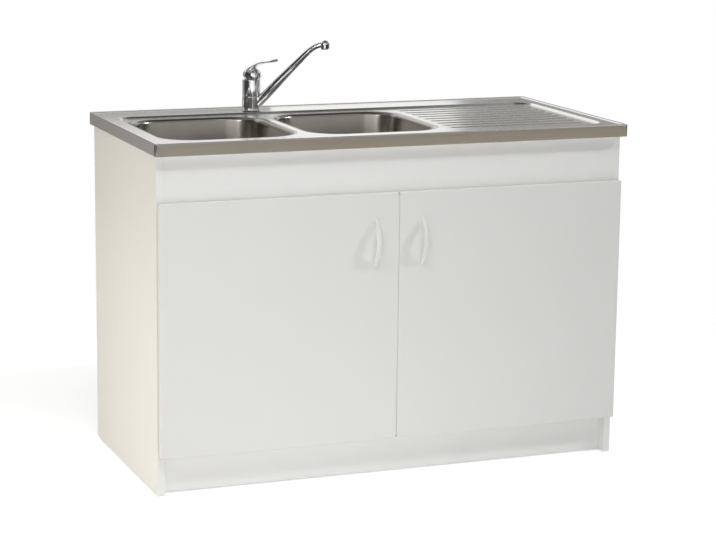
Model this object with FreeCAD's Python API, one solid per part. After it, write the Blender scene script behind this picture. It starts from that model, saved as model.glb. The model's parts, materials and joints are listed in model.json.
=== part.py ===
import FreeCAD, Part

import math
import os

from FreeCAD import Vector

# Free-standing kitchen sink unit: a two-door board cabinet that carries a lay-on pressed steel sink
# with two bowls and a drainer, a single-lever mixer tap and the waste fittings under the bowls.
# Millimetres, +X to the right seen from the front, +Y to the back, +Z up, floor at Z = 0.
# The origin is on the floor under the middle of the overall width and depth.

# Sink outline
SINK_WIDTH = 1200.0
SINK_DEPTH = 600.0
SINK_TOP = 840.0
APRON_HEIGHT = 30.0
SHEET = 0.8
OUTER_CORNER = 6.0
RIM_ROUND = 2.5
RETURN_WIDTH = 36.0
SEAM_WIDTH = 8.0
SEAM_BEHIND_FRONT = 6.5
SEAM_END_MARGIN = 2.0

# Sink deck: a raised bead round the edge, a border inside it and a sunk field for bowls and drainer
BEAD_WIDTH = 9.0
BEAD_DROP = 2.0
BEAD_SLOPE = 4.0
FIELD_SIDE_MARGIN = 38.0
FIELD_FRONT_MARGIN = 46.0
FIELD_BACK_MARGIN = 104.0
FIELD_DROP = 5.0
FIELD_SLOPE = 4.0
FIELD_CORNER = 42.0
STEP_ROUND = 2.5

# Bowls
BOWL_WIDTH = 322.0
BOWL_DROP = 150.0
BOWL_CORNER = 75.0
BOWL_DRAFT = 18.0
BOWL_FLOOR_ROUND = 28.0
BOWL_LIP = 12.0
BOWL_FLANGE = 3.0
BOWL_SIDE_MARGIN = 59.0
BOWL_FRONT_MARGIN = 96.5
BOWL_BACK_MARGIN = 136.5
BOWL_GAP = 43.0

# Drainer grooves
GROOVE_COUNT = 9
GROOVE_RADIUS = 12.0
GROOVE_SINK = 3.2
GROOVE_END_MARGIN = 71.0
GROOVE_BOWL_MARGIN = 38.0
GROOVE_SIDE_MARGIN = 118.0
GROOVE_BACK_MARGIN = 150.0

# Cabinet boards
SIDE_OVERHANG = 7.0
FRONT_OVERHANG = 27.0
BACK_OVERHANG = 20.0
BOARD = 18.0
EDGE_ROUND = 0.8
GLIDE_HEIGHT = 4.0
GLIDE_RADIUS = 7.0
GLIDE_INSET = 45.0
GLIDE_NAIL_RADIUS = 1.0
GLIDE_NAIL_LENGTH = 12.0
BOTTOM_HEIGHT = 100.0
PLINTH_SETBACK = 28.0
TOP_RAIL_HEIGHT = 100.0
LOWER_RAIL_HEIGHT = 80.0
FASCIA_LAP = 12.0
WALL_HOLE_SPACING = 800.0
WALL_HOLE_RADIUS = 3.0

# Cam fittings and dowels that hold the boards
FITTING_INSET = 27.0
BOLT_THREAD_RADIUS = 2.5
BOLT_THREAD_LENGTH = 11.0
BOLT_SHANK_RADIUS = 3.0
BOLT_HEAD_RADIUS = 3.5
BOLT_HEAD_LENGTH = 5.0
BOLT_BORE_RADIUS = 4.0
CAM_DISTANCE = 24.0
CAM_RADIUS = 7.5
CAM_DEPTH = 12.5
DOWEL_RADIUS = 4.0
DOWEL_DEPTH = 11.0
DOWEL_LENGTH = 32.0
FIT = 0.05

# Doors
DOOR_BOARD = 16.0
DOOR_BOTTOM = 98.0
DOOR_TOP = 699.0
DOOR_GAP = 3.0
DOOR_REVEAL = 2.0
DOOR_CENTRE_GAP = 3.0
BUFFER_RADIUS = 4.0
BUFFER_FROM_CENTRE = 45.0
CLEARANCE = 0.3

# Bow handles
HANDLE_LENGTH = 120.0
HANDLE_REACH = 30.0
HANDLE_WIDTH = 10.0
HANDLE_END_WIDTH = 6.0
HANDLE_THICKNESS = 11.0
HANDLE_FOOT = 22.0
HANDLE_ROUND = 2.2
HANDLE_FROM_CENTRE = 60.0
HANDLE_FROM_TOP = 58.0
SCREW_RADIUS = 2.0
SCREW_HEAD_RADIUS = 4.0
SCREW_HEAD_HEIGHT = 2.4
HANDLE_SCREW_BITE = 6.0

# Concealed hinges with one pin in the cup and a cranked arm
HINGE_FROM_END = 100.0
HINGE_PIN_INSET = 6.8
HINGE_PIN_DEPTH = 8.0
PIN_RADIUS = 1.5
PIN_HALF_LENGTH = 7.5
PIN_CLEARANCE = 0.05
EYE_RADIUS = 2.5
CUP_RADIUS = 17.5
CUP_INSET = 3.0
CUP_DEPTH = 11.7
CUP_EAR_OFFSET = 6.0
CUP_EAR_SPACING = 48.0
CUP_EAR_RADIUS = 6.5
CUP_EAR_THICKNESS = 1.2
ARM_OFFSET = 3.2
ARM_THICKNESS = 3.0
ARM_WIDTH = 16.0
ARM_NECK_WIDTH = 8.0
ARM_SHOULDER = 9.0
ARM_LENGTH = 62.0
PLATE_START = 20.0
PLATE_LENGTH = 44.0
PLATE_WIDTH = 20.0
PLATE_WING_WIDTH = 48.0
PLATE_WING_LENGTH = 15.0
PLATE_WING_THICKNESS = 2.2
PLATE_SCREW_SPACING = 32.0
PLATE_SCREW_LENGTH = 11.0
SMALL_SCREW_RADIUS = 1.75
SMALL_SCREW_HEAD_RADIUS = 3.6
SMALL_SCREW_HEAD_HEIGHT = 1.4
CUP_SCREW_LENGTH = 10.0

# Brackets that hold the sink's return flange to the sides
BRACKET_WIDTH = 20.0
BRACKET_LEG = 24.0
BRACKET_REACH = 12.0
BRACKET_SHEET = 2.0
BRACKET_FROM_END = 120.0
BRACKET_SCREW_BITE = 10.0
BRACKET_SCREW_RISE = 6.0

# Wastes
WASTE_HOLE_RADIUS = 44.0
WASTE_FLANGE_RADIUS = 56.0
WASTE_FLANGE_HEIGHT = 2.0
WASTE_CUP_DEPTH = 22.0
WASTE_CUP_WALL = 1.5
WASTE_OUTLET_RADIUS = 20.0
GASKET_HEIGHT = 2.0
GASKET_RADIUS = 54.0
BODY_WALL = 3.0
BODY_DROP = 34.0
SPIGOT_LENGTH = 40.0
BASKET_CLEARANCE = 1.0
BASKET_HEIGHT = 16.0
BASKET_WALL = 1.2
BASKET_HOLE_RADIUS = 2.2
BASKET_HOLE_COUNT = 12
BASKET_HOLE_CIRCLE = 29.0
BASKET_PLUG_HEIGHT = 5.0
BASKET_STEM_RADIUS = 3.0
BASKET_KNOB_RADIUS = 7.0
BASKET_KNOB_HEIGHT = 8.0

# Pipes and bottle trap
PIPE_RADIUS = 20.0
PIPE_WALL = 2.0
BEND_RADIUS = 45.0
BEND_DROP = 22.0
BEND_RUN = 40.0
TEE_BRANCH = 36.0
TEE_TAIL = 40.0
NUT_RADIUS = 27.0
NUT_LENGTH = 24.0
TRAP_RADIUS = 34.0
TRAP_WALL = 3.0
TRAP_BODY_HEIGHT = 84.0
TRAP_CUP_HEIGHT = 66.0
TRAP_OUTLET_DROP = 42.0
TRAP_BRANCH = 46.0
OUTLET_SETBACK = 18.0
OUTLET_SPIGOT_RADIUS = 19.5
OUTLET_SPIGOT_LENGTH = 60.0

# Mixer tap, heights from the deck border that it stands on
TAP_BACK_MARGIN = 75.0
TAP_HOLE_RADIUS = 17.5
TAP_SHANK_RADIUS = 16.0
TAP_SHANK_LENGTH = 52.0
TAP_BASE_RADIUS = 24.5
TAP_BASE_HEIGHT = 7.0
TAP_GASKET_HEIGHT = 1.5
TAP_COLUMN_RADIUS = 15.0
TAP_COLLAR_RADIUS = 23.0
TAP_COLLAR_HEIGHT = 31.0
TAP_BODY_RADIUS = 22.5
TAP_BODY_TOP = 81.0
TAP_RUNNING = 0.06
TAP_BALL_HEIGHT = 90.0
TAP_BALL_RADIUS = 19.0
TAP_HOOD_GAP = 0.5
TAP_HOOD_WALL = 1.8
TAP_HOOD_BULGE = 7.0
TAP_HOOD_BULGE_RADIUS = 19.5
TAP_HOOD_FRONT = 8.5
TAP_HOOD_BACK = -0.5
TAP_SPIGOT_RADIUS = 12.0
TAP_SPIGOT_LENGTH = 14.0
TAP_PIN_RADIUS = 2.5
TAP_INLET_RADIUS = 4.5
TAP_INLET_DEPTH = 14.0
TAP_INLET_OFFSET = 8.0
TAP_WASHER_RADIUS = 22.5
TAP_WASHER_HEIGHT = 3.0
TAP_NUT_RADIUS = 24.0
TAP_NUT_HEIGHT = 9.0
SPOUT_HEADING = 35.0
SPOUT_RISE = 45.0
SPOUT_END_RISE = 20.0
SPOUT_ROOT_HEIGHT = 10.0
SPOUT_APEX = 162.0
SPOUT_REACH = 192.0
SPOUT_ROOT_RADIUS = 11.0
SPOUT_TIP_RADIUS = 8.0
SPOUT_BEND_RADIUS = 32.0
SPOUT_NOSE_RADIUS = 11.2
SPOUT_NOSE_LENGTH = 9.0
AERATOR_RADIUS = 8.8
AERATOR_HEIGHT = 8.0
AERATOR_DROP = 3.0
LEVER_HEADING = 60.0
LEVER_REACH = 82.0
LEVER_ROOT_WIDTH = 30.0
LEVER_TIP_WIDTH = 16.0
# Share of the reach, height above the ball's centre and thickness at each section of the blade
LEVER_SECTIONS = ((0.0, 16.5, 10.0), (0.18, 25.5, 7.5), (0.35, 32.0, 5.0), (0.55, 36.5, 4.0),
                  (0.78, 39.0, 4.2), (0.92, 42.0, 6.6), (1.0, 43.2, 4.8))

# Places worked out from the sizes above
CARCASS_WIDTH = SINK_WIDTH - 2 * SIDE_OVERHANG
CARCASS_TOP = SINK_TOP - APRON_HEIGHT
FRONT_REACH = SINK_DEPTH / 2 - FRONT_OVERHANG + DOOR_GAP + DOOR_BOARD + HANDLE_REACH
SINK_Y = (FRONT_REACH - SINK_DEPTH / 2) / 2
SINK_LEFT = -SINK_WIDTH / 2
SINK_FRONT = SINK_Y - SINK_DEPTH / 2
SINK_BACK = SINK_Y + SINK_DEPTH / 2
FRONT = SINK_FRONT + FRONT_OVERHANG
BACK = SINK_BACK - BACK_OVERHANG
SIDE_IN = -CARCASS_WIDTH / 2 + BOARD
FASCIA_BOTTOM = DOOR_TOP - FASCIA_LAP
BOTTOM_TOP = BOTTOM_HEIGHT + BOARD

BORDER_Z = SINK_TOP - BEAD_DROP
FIELD_Z = BORDER_Z - FIELD_DROP
BOWL_DEPTH = SINK_DEPTH - BOWL_FRONT_MARGIN - BOWL_BACK_MARGIN
BOWL_Y = SINK_FRONT + BOWL_FRONT_MARGIN + BOWL_DEPTH / 2
LEFT_BOWL_X = SINK_LEFT + BOWL_SIDE_MARGIN + BOWL_WIDTH / 2
RIGHT_BOWL_X = LEFT_BOWL_X + BOWL_WIDTH + BOWL_GAP
BOWL_FLOOR_Z = FIELD_Z - BOWL_DROP

DOOR_EDGE = -CARCASS_WIDTH / 2 + DOOR_REVEAL
DOOR_BACK = FRONT - DOOR_GAP
DOOR_FRONT = DOOR_BACK - DOOR_BOARD
HINGE_HEIGHTS = (DOOR_BOTTOM + HINGE_FROM_END, DOOR_TOP - HINGE_FROM_END)
PIN_X = DOOR_EDGE + HINGE_PIN_INSET
PIN_Y = DOOR_BACK - HINGE_PIN_DEPTH
CUP_X = DOOR_EDGE + CUP_INSET + CUP_RADIUS
ARM_IN = SIDE_IN + ARM_OFFSET
ARM_OUT = ARM_IN + ARM_THICKNESS
PLATE_SCREW_Y = FRONT + PLATE_START + PLATE_WING_LENGTH / 2
HANDLE_Z = DOOR_TOP - HANDLE_FROM_TOP - HANDLE_LENGTH / 2

WASTE_FLOOR_Z = BOWL_FLOOR_Z - SHEET
WASTE_BODY_TOP = WASTE_FLOOR_Z - GASKET_HEIGHT
SPIGOT_END = WASTE_BODY_TOP - BODY_DROP - SPIGOT_LENGTH
CROSS_Z = SPIGOT_END - BEND_DROP - BEND_RADIUS
TRAP_TOP = CROSS_Z - TEE_TAIL
OUTLET_Z = TRAP_TOP - TRAP_OUTLET_DROP

TAP_X = (LEFT_BOWL_X + RIGHT_BOWL_X) / 2
TAP_Y = SINK_BACK - TAP_BACK_MARGIN
TAP_AXIS = Vector(TAP_X, TAP_Y, 0)
COLLAR_Z = BORDER_Z + TAP_BASE_HEIGHT
BALL_Z = BORDER_Z + TAP_BALL_HEIGHT

UP = Vector(0, 0, 1)
RIGHT = Vector(1, 0, 0)
BACKWARD = Vector(0, 1, 0)


# Plain shapes

def block(low, high):
    """Box between two corners."""
    size = high.sub(low)
    return Part.makeBox(size.x, size.y, size.z, low)


def rod(radius, start, end):
    """Round bar from one point to another."""
    axis = end.sub(start)
    return Part.makeCylinder(radius, axis.Length, start, axis)


def tube(outer, wall, start, end):
    """Round pipe from one point to another."""
    return rod(outer, start, end).cut(rod(outer - wall, start, end))


def ring(outer, inner, centre, height):
    """Flat ring that rises from its centre."""
    top = centre.add(Vector(0, 0, height))
    return rod(outer, centre, top).cut(rod(inner, centre, top))


def board(low, high):
    """Board with its edges eased."""
    shape = block(low, high)
    return shape.makeFillet(EDGE_ROUND, shape.Edges)


def turned(profile, centre):
    """Solid of revolution about a vertical axis, from points (radius, height)."""
    points = [Vector(r, 0, z) for r, z in profile]
    face = Part.Face(Part.makePolygon(points + points[:1]))
    solid = face.revolve(Vector(0, 0, 0), UP, 360)
    solid.translate(centre)
    return solid


def rounded_outline(low_x, high_x, low_y, high_y, corner, z):
    """Rectangle with round corners, as a wire at one height."""
    reach = corner * (1 - math.sqrt(0.5))
    edges = [
        Part.makeLine(Vector(low_x + corner, low_y, z), Vector(high_x - corner, low_y, z)),
        Part.Arc(Vector(high_x - corner, low_y, z), Vector(high_x - reach, low_y + reach, z),
                 Vector(high_x, low_y + corner, z)).toShape(),
        Part.makeLine(Vector(high_x, low_y + corner, z), Vector(high_x, high_y - corner, z)),
        Part.Arc(Vector(high_x, high_y - corner, z), Vector(high_x - reach, high_y - reach, z),
                 Vector(high_x - corner, high_y, z)).toShape(),
        Part.makeLine(Vector(high_x - corner, high_y, z), Vector(low_x + corner, high_y, z)),
        Part.Arc(Vector(low_x + corner, high_y, z), Vector(low_x + reach, high_y - reach, z),
                 Vector(low_x, high_y - corner, z)).toShape(),
        Part.makeLine(Vector(low_x, high_y - corner, z), Vector(low_x, low_y + corner, z)),
        Part.Arc(Vector(low_x, low_y + corner, z), Vector(low_x + reach, low_y + reach, z),
                 Vector(low_x + corner, low_y, z)).toShape(),
    ]
    return Part.Wire(edges)


def upright(wire, height):
    """Solid raised from a flat outline."""
    return Part.Face(wire).extrude(Vector(0, 0, height))


def mirrored(shape):
    """The same piece on the other side of the middle."""
    return shape.mirror(Vector(0, 0, 0), RIGHT)


def edges_at(shape, test):
    """Edges whose whole length passes a test."""
    return [e for e in shape.Edges if all(test(v.Point) for v in e.Vertexes)]


def merged(first, *others):
    """One solid from pieces that share faces."""
    shape = first
    for other in others:
        shape = shape.fuse(other)
    return shape.removeSplitter()


# Cabinet boards and the fittings in them

def cross_boards():
    """Each board between the sides: lowest y, highest y, lowest z, highest z and the face for its cams."""
    return {
        "bottom_panel": (FRONT, BACK, BOTTOM_HEIGHT, BOTTOM_TOP, Vector(0, 0, -1)),
        "fascia_board": (FRONT, FRONT + BOARD, FASCIA_BOTTOM, CARCASS_TOP, BACKWARD),
        "rear_top_rail": (BACK - BOARD, BACK, CARCASS_TOP - TOP_RAIL_HEIGHT, CARCASS_TOP, Vector(0, -1, 0)),
        "rear_bottom_rail": (BACK - BOARD, BACK, BOTTOM_TOP, BOTTOM_TOP + LOWER_RAIL_HEIGHT,
                             Vector(0, -1, 0)),
        "plinth_board": (FRONT + PLINTH_SETBACK, FRONT + PLINTH_SETBACK + BOARD, GLIDE_HEIGHT,
                         BOTTOM_HEIGHT, BACKWARD),
    }


def fitting_sites(name):
    """Bolt and dowel centres (y, z) on the end of one cross board."""
    y0, y1, z0, z1, _ = cross_boards()[name]
    if z1 - z0 > y1 - y0:
        y = (y0 + y1) / 2
        return [(y, z0 + FITTING_INSET)], [(y, z1 - FITTING_INSET)]
    z = (z0 + z1) / 2
    bolts = [(y0 + 2 * FITTING_INSET, z), (y1 - 2 * FITTING_INSET, z)]
    dowels = [(y0 + 4 * FITTING_INSET, z), (y1 - 4 * FITTING_INSET, z)]
    return bolts, dowels


def cam_place(name, y, z):
    """Middle of a cam's outer face, at the left end of its board."""
    y0, y1, z0, z1, face = cross_boards()[name]
    x = SIDE_IN + CAM_DISTANCE
    if face.z:
        return Vector(x, y, z0)
    return Vector(x, y1 if face.y > 0 else y0, z)


def cross_board(name):
    """A board between the sides, bored at both ends for its fittings."""
    y0, y1, z0, z1, face = cross_boards()[name]
    shape = board(Vector(SIDE_IN, y0, z0), Vector(-SIDE_IN, y1, z1))
    bolts, dowels = fitting_sites(name)
    cuts = []
    for y, z in bolts:
        cuts.append(rod(BOLT_BORE_RADIUS, Vector(SIDE_IN, y, z), Vector(SIDE_IN + CAM_DISTANCE, y, z)))
        place = cam_place(name, y, z)
        cuts.append(Part.makeCylinder(CAM_RADIUS, CAM_DEPTH, place, face.negative()))
    for y, z in dowels:
        end = SIDE_IN + DOWEL_LENGTH - DOWEL_DEPTH
        cuts.append(rod(DOWEL_RADIUS, Vector(SIDE_IN, y, z), Vector(end, y, z)))
    for cut in cuts:
        shape = shape.cut(cut).cut(mirrored(cut))
    return shape


def cam_bolts():
    """Steel bolts screwed into the sides, with their heads in the cams."""
    bolts = []
    for name in cross_boards():
        for y, z in fitting_sites(name)[0]:
            thread_end = Vector(SIDE_IN - BOLT_THREAD_LENGTH, y, z)
            collar = Vector(SIDE_IN, y, z)
            neck = Vector(SIDE_IN + CAM_DISTANCE - BOLT_HEAD_LENGTH / 2, y, z)
            tip = Vector(neck.x + BOLT_HEAD_LENGTH, y, z)
            bolt = merged(rod(BOLT_THREAD_RADIUS - FIT, thread_end, collar),
                          rod(BOLT_SHANK_RADIUS, collar, neck), rod(BOLT_HEAD_RADIUS, neck, tip))
            bolts += [bolt, mirrored(bolt)]
    return bolts


def cam_discs():
    """Round cams that draw the bolts in, each with a way in for the bolt's head."""
    discs = []
    for name in cross_boards():
        face = cross_boards()[name][4]
        for y, z in fitting_sites(name)[0]:
            place = cam_place(name, y, z)
            disc = Part.makeCylinder(CAM_RADIUS - FIT, CAM_DEPTH, place, face.negative())
            way = rod(BOLT_HEAD_RADIUS + FIT, Vector(place.x - 2 * CAM_RADIUS, y, z),
                      Vector(place.x + BOLT_HEAD_LENGTH / 2 + FIT, y, z))
            cross = block(Vector(place.x - CAM_RADIUS / 2, place.y - 1, place.z - 1),
                          Vector(place.x + CAM_RADIUS / 2, place.y + 1, place.z + 1))
            disc = disc.cut(way).cut(cross)
            discs += [disc, mirrored(disc)]
    return discs


def dowels():
    """Wooden pegs that line the boards up."""
    pegs = []
    for name in cross_boards():
        for y, z in fitting_sites(name)[1]:
            start = Vector(SIDE_IN - DOWEL_DEPTH, y, z)
            peg = rod(DOWEL_RADIUS - FIT, start, Vector(start.x + DOWEL_LENGTH, y, z))
            pegs += [peg, mirrored(peg)]
    return pegs


def glide_places():
    """Where the glides stand, under the left side and under the bearer."""
    side_x = SIDE_IN - BOARD / 2
    ys = (FRONT + GLIDE_INSET, BACK - GLIDE_INSET)
    sides = [Vector(x, y, 0) for x in (side_x, -side_x) for y in ys]
    bearer_front = FRONT + PLINTH_SETBACK + BOARD
    return sides + [Vector(0, bearer_front + GLIDE_INSET, 0), Vector(0, BACK - GLIDE_INSET, 0)]


def glide_nail(place, radius):
    """Shank of a glide's nail, up into the board above it."""
    return rod(radius, Vector(place.x, place.y, GLIDE_HEIGHT),
               Vector(place.x, place.y, GLIDE_HEIGHT + GLIDE_NAIL_LENGTH))


def floor_glides():
    """Plastic glides nailed under the boards that stand on the floor."""
    glides = []
    for place in glide_places():
        pad = Part.makeCylinder(GLIDE_RADIUS, GLIDE_HEIGHT, place)
        pad = pad.makeFillet(GLIDE_HEIGHT / 4, edges_at(pad, lambda p: p.z < GLIDE_HEIGHT / 2))
        glides.append(merged(pad, glide_nail(place, GLIDE_NAIL_RADIUS - FIT)))
    return glides


def left_side_panel():
    """Full-height side with the holes for its fittings, hinge plates and brackets."""
    shape = board(Vector(SIDE_IN - BOARD, FRONT, GLIDE_HEIGHT), Vector(SIDE_IN, BACK, CARCASS_TOP))
    for name in cross_boards():
        bolts, pegs = fitting_sites(name)
        for y, z in bolts:
            start = Vector(SIDE_IN - BOLT_THREAD_LENGTH, y, z)
            shape = shape.cut(rod(BOLT_THREAD_RADIUS, start, Vector(SIDE_IN, y, z)))
        for y, z in pegs:
            start = Vector(SIDE_IN - DOWEL_DEPTH, y, z)
            shape = shape.cut(rod(DOWEL_RADIUS, start, Vector(SIDE_IN, y, z)))
    for site in plate_screw_sites():
        start = Vector(SIDE_IN - PLATE_SCREW_LENGTH, site.y, site.z)
        shape = shape.cut(rod(SCREW_RADIUS + FIT, start, site))
    for place in bracket_places():
        site = Vector(SIDE_IN, place, bracket_screw_height())
        start = Vector(SIDE_IN - BRACKET_SCREW_BITE, site.y, site.z)
        shape = shape.cut(rod(SMALL_SCREW_RADIUS + FIT, start, site))
    for place in glide_places()[:2]:
        shape = shape.cut(glide_nail(place, GLIDE_NAIL_RADIUS))
    return shape


def rear_top_rail():
    """Top rail at the back, with the two holes for wall screws."""
    shape = cross_board("rear_top_rail")
    z = CARCASS_TOP - TOP_RAIL_HEIGHT / 2
    for x in (-WALL_HOLE_SPACING / 2, WALL_HOLE_SPACING / 2):
        shape = shape.cut(rod(WALL_HOLE_RADIUS, Vector(x, BACK - BOARD, z), Vector(x, BACK, z)))
    return shape


def bottom_bearer():
    """Board on edge that carries the middle of the bottom panel."""
    y0 = FRONT + PLINTH_SETBACK + BOARD
    shape = board(Vector(-BOARD / 2, y0, GLIDE_HEIGHT), Vector(BOARD / 2, BACK, BOTTOM_HEIGHT))
    for place in glide_places()[4:]:
        shape = shape.cut(glide_nail(place, GLIDE_NAIL_RADIUS))
    return shape


def door_buffers():
    """Soft buffers that keep the doors off the boards."""
    pads = []
    for z in (FASCIA_BOTTOM + FASCIA_LAP / 2, BOTTOM_HEIGHT + BOARD / 2):
        for x in (-BUFFER_FROM_CENTRE, BUFFER_FROM_CENTRE):
            pads.append(rod(BUFFER_RADIUS, Vector(x, FRONT, z), Vector(x, DOOR_BACK + CLEARANCE, z)))
    return pads


# Sink brackets

def bracket_places():
    """Distances along the side where the sink's brackets are screwed."""
    return (FRONT + BRACKET_FROM_END, BACK - BRACKET_FROM_END)


def bracket_screw_height():
    """Height of the screw in a bracket's upright leg."""
    return CARCASS_TOP - BRACKET_LEG / 2 - BRACKET_SHEET


def bracket_rise_x():
    """Where the bracket's other screw goes up into the return flange."""
    return SIDE_IN + (BRACKET_SHEET + BRACKET_REACH) / 2


def sink_brackets():
    """Angle brackets between the sides and the sink's return flange."""
    brackets = []
    for y in bracket_places():
        low_y, high_y = y - BRACKET_WIDTH / 2, y + BRACKET_WIDTH / 2
        leg = block(Vector(SIDE_IN, low_y, CARCASS_TOP - BRACKET_LEG),
                    Vector(SIDE_IN + BRACKET_SHEET, high_y, CARCASS_TOP))
        arm = block(Vector(SIDE_IN, low_y, CARCASS_TOP - BRACKET_SHEET),
                    Vector(SIDE_IN + BRACKET_REACH, high_y, CARCASS_TOP))
        shape = merged(leg, arm)
        z = bracket_screw_height()
        shape = shape.cut(rod(SMALL_SCREW_RADIUS + FIT, Vector(SIDE_IN, y, z),
                              Vector(SIDE_IN + BRACKET_SHEET, y, z)))
        x = bracket_rise_x()
        shape = shape.cut(rod(SMALL_SCREW_RADIUS + FIT, Vector(x, y, CARCASS_TOP - BRACKET_SHEET),
                              Vector(x, y, CARCASS_TOP)))
        brackets += [shape, mirrored(shape)]
    return brackets


def headed_screw(seat, direction, shank, bite, head, head_height):
    """Screw with a flat head on its seat, driven along a direction."""
    tip = seat.add(Vector(direction).multiply(bite))
    back = seat.sub(Vector(direction).multiply(head_height))
    return merged(rod(shank, seat, tip), rod(head, back, seat))


def sink_bracket_screws():
    """Screws through the brackets, into the sides and up into the return flange."""
    screws = []
    for y in bracket_places():
        seat = Vector(SIDE_IN + BRACKET_SHEET, y, bracket_screw_height())
        side = headed_screw(seat, Vector(-1, 0, 0), SMALL_SCREW_RADIUS, BRACKET_SHEET + BRACKET_SCREW_BITE,
                            SMALL_SCREW_HEAD_RADIUS, SMALL_SCREW_HEAD_HEIGHT)
        seat = Vector(bracket_rise_x(), y, CARCASS_TOP - BRACKET_SHEET)
        rise = headed_screw(seat, UP, SMALL_SCREW_RADIUS, BRACKET_SHEET + BRACKET_SCREW_RISE,
                            SMALL_SCREW_HEAD_RADIUS, SMALL_SCREW_HEAD_HEIGHT)
        screws += [side, mirrored(side), rise, mirrored(rise)]
    return screws


# Doors, handles and hinges, all built for the left and mirrored

def cup_screw_sites():
    """Seats of the two screws of each hinge cup, on the door's back."""
    x = CUP_X + CUP_EAR_OFFSET
    return [Vector(x, DOOR_BACK, z + side * CUP_EAR_SPACING / 2) for z in HINGE_HEIGHTS for side in (-1, 1)]


def handle_screw_sites():
    """Centres of the two handle screws, on the door's back."""
    half = HANDLE_LENGTH / 2 - HANDLE_FOOT / 2
    return [Vector(-HANDLE_FROM_CENTRE, DOOR_BACK, HANDLE_Z + side * half) for side in (-1, 1)]


def left_door():
    """Door board with its cup pockets and screw holes."""
    shape = board(Vector(DOOR_EDGE, DOOR_FRONT, DOOR_BOTTOM),
                  Vector(-DOOR_CENTRE_GAP / 2, DOOR_BACK, DOOR_TOP))
    for z in HINGE_HEIGHTS:
        floor = Vector(CUP_X, DOOR_BACK - CUP_DEPTH, z)
        shape = shape.cut(rod(CUP_RADIUS, floor, Vector(CUP_X, DOOR_BACK, z)))
    for site in cup_screw_sites():
        shape = shape.cut(rod(SMALL_SCREW_RADIUS + FIT, site.sub(Vector(0, CUP_SCREW_LENGTH, 0)), site))
    for site in handle_screw_sites():
        shape = shape.cut(rod(SCREW_RADIUS + FIT, site.sub(Vector(0, DOOR_BOARD, 0)), site))
    return shape


def left_handle():
    """Bow handle: an arched band, widest in the middle, with two flat feet on the door."""
    half = HANDLE_LENGTH / 2
    inner_half = half - HANDLE_FOOT
    inner_reach = HANDLE_REACH - HANDLE_THICKNESS
    x0 = -HANDLE_FROM_CENTRE
    low, high = Vector(x0, DOOR_FRONT, HANDLE_Z - half), Vector(x0, DOOR_FRONT, HANDLE_Z + half)
    inner_low = Vector(x0, DOOR_FRONT, HANDLE_Z - inner_half)
    inner_high = Vector(x0, DOOR_FRONT, HANDLE_Z + inner_half)
    outer = Part.Arc(low, Vector(x0, DOOR_FRONT - HANDLE_REACH, HANDLE_Z), high).toShape()
    inner = Part.Arc(inner_high, Vector(x0, DOOR_FRONT - inner_reach, HANDLE_Z), inner_low).toShape()
    feet = (Part.makeLine(high, inner_high), Part.makeLine(inner_low, low))
    band = Part.Face(Part.Wire([outer, feet[0], inner, feet[1]]))
    band.translate(Vector(-HANDLE_WIDTH / 2, 0, 0))
    band = band.extrude(Vector(HANDLE_WIDTH, 0, 0))
    end = HANDLE_END_WIDTH / 2
    side = HANDLE_WIDTH / 2
    y = DOOR_FRONT - HANDLE_REACH
    leaf = Part.Wire([
        Part.Arc(Vector(x0 + end, y, HANDLE_Z - half), Vector(x0 + side, y, HANDLE_Z),
                 Vector(x0 + end, y, HANDLE_Z + half)).toShape(),
        Part.makeLine(Vector(x0 + end, y, HANDLE_Z + half), Vector(x0 - end, y, HANDLE_Z + half)),
        Part.Arc(Vector(x0 - end, y, HANDLE_Z + half), Vector(x0 - side, y, HANDLE_Z),
                 Vector(x0 - end, y, HANDLE_Z - half)).toShape(),
        Part.makeLine(Vector(x0 - end, y, HANDLE_Z - half), Vector(x0 + end, y, HANDLE_Z - half)),
    ])
    shape = band.common(Part.Face(leaf).extrude(Vector(0, HANDLE_REACH, 0)))
    long_edges = [e for e in shape.Edges if e.Length > inner_half]
    shape = shape.makeFillet(HANDLE_ROUND, long_edges)
    for site in handle_screw_sites():
        seat = Vector(site.x, DOOR_FRONT, site.z)
        shape = shape.cut(rod(SCREW_RADIUS + FIT, seat, seat.sub(Vector(0, HANDLE_SCREW_BITE, 0))))
    return shape


def left_handle_screws():
    """Screws from the door's back into the handle's feet."""
    return [headed_screw(site, Vector(0, -1, 0), SCREW_RADIUS, DOOR_BOARD + HANDLE_SCREW_BITE,
                         SCREW_HEAD_RADIUS, SCREW_HEAD_HEIGHT) for site in handle_screw_sites()]


def left_hinge_cup(z):
    """Die-cast cup let into the door, slotted for the arm, with an ear for each screw."""
    shape = rod(CUP_RADIUS - FIT, Vector(CUP_X, DOOR_BACK - CUP_DEPTH, z), Vector(CUP_X, DOOR_BACK, z))
    ear_x = CUP_X + CUP_EAR_OFFSET
    face = DOOR_BACK + CUP_EAR_THICKNESS
    half = CUP_EAR_SPACING / 2
    strap = block(Vector(ear_x - CUP_EAR_RADIUS, DOOR_BACK, z - half),
                  Vector(ear_x + CUP_EAR_RADIUS, face, z + half))
    ears = [rod(CUP_EAR_RADIUS, Vector(ear_x, DOOR_BACK, z + side), Vector(ear_x, face, z + side))
            for side in (-half, half)]
    shape = merged(shape, strap, *ears)
    room = ARM_NECK_WIDTH / 2 + CLEARANCE
    slot = block(Vector(PIN_X - EYE_RADIUS - CLEARANCE, PIN_Y - EYE_RADIUS - CLEARANCE, z - room),
                 Vector(ARM_OUT + 2 * CLEARANCE, face, z + room))
    shape = shape.cut(slot)
    shape = shape.cut(rod(PIN_RADIUS, Vector(PIN_X, PIN_Y, z - PIN_HALF_LENGTH),
                          Vector(PIN_X, PIN_Y, z + PIN_HALF_LENGTH)))
    for side in (-half, half):
        shape = shape.cut(rod(SMALL_SCREW_RADIUS + FIT, Vector(ear_x, DOOR_BACK, z + side),
                              Vector(ear_x, face, z + side)))
    return shape


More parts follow.
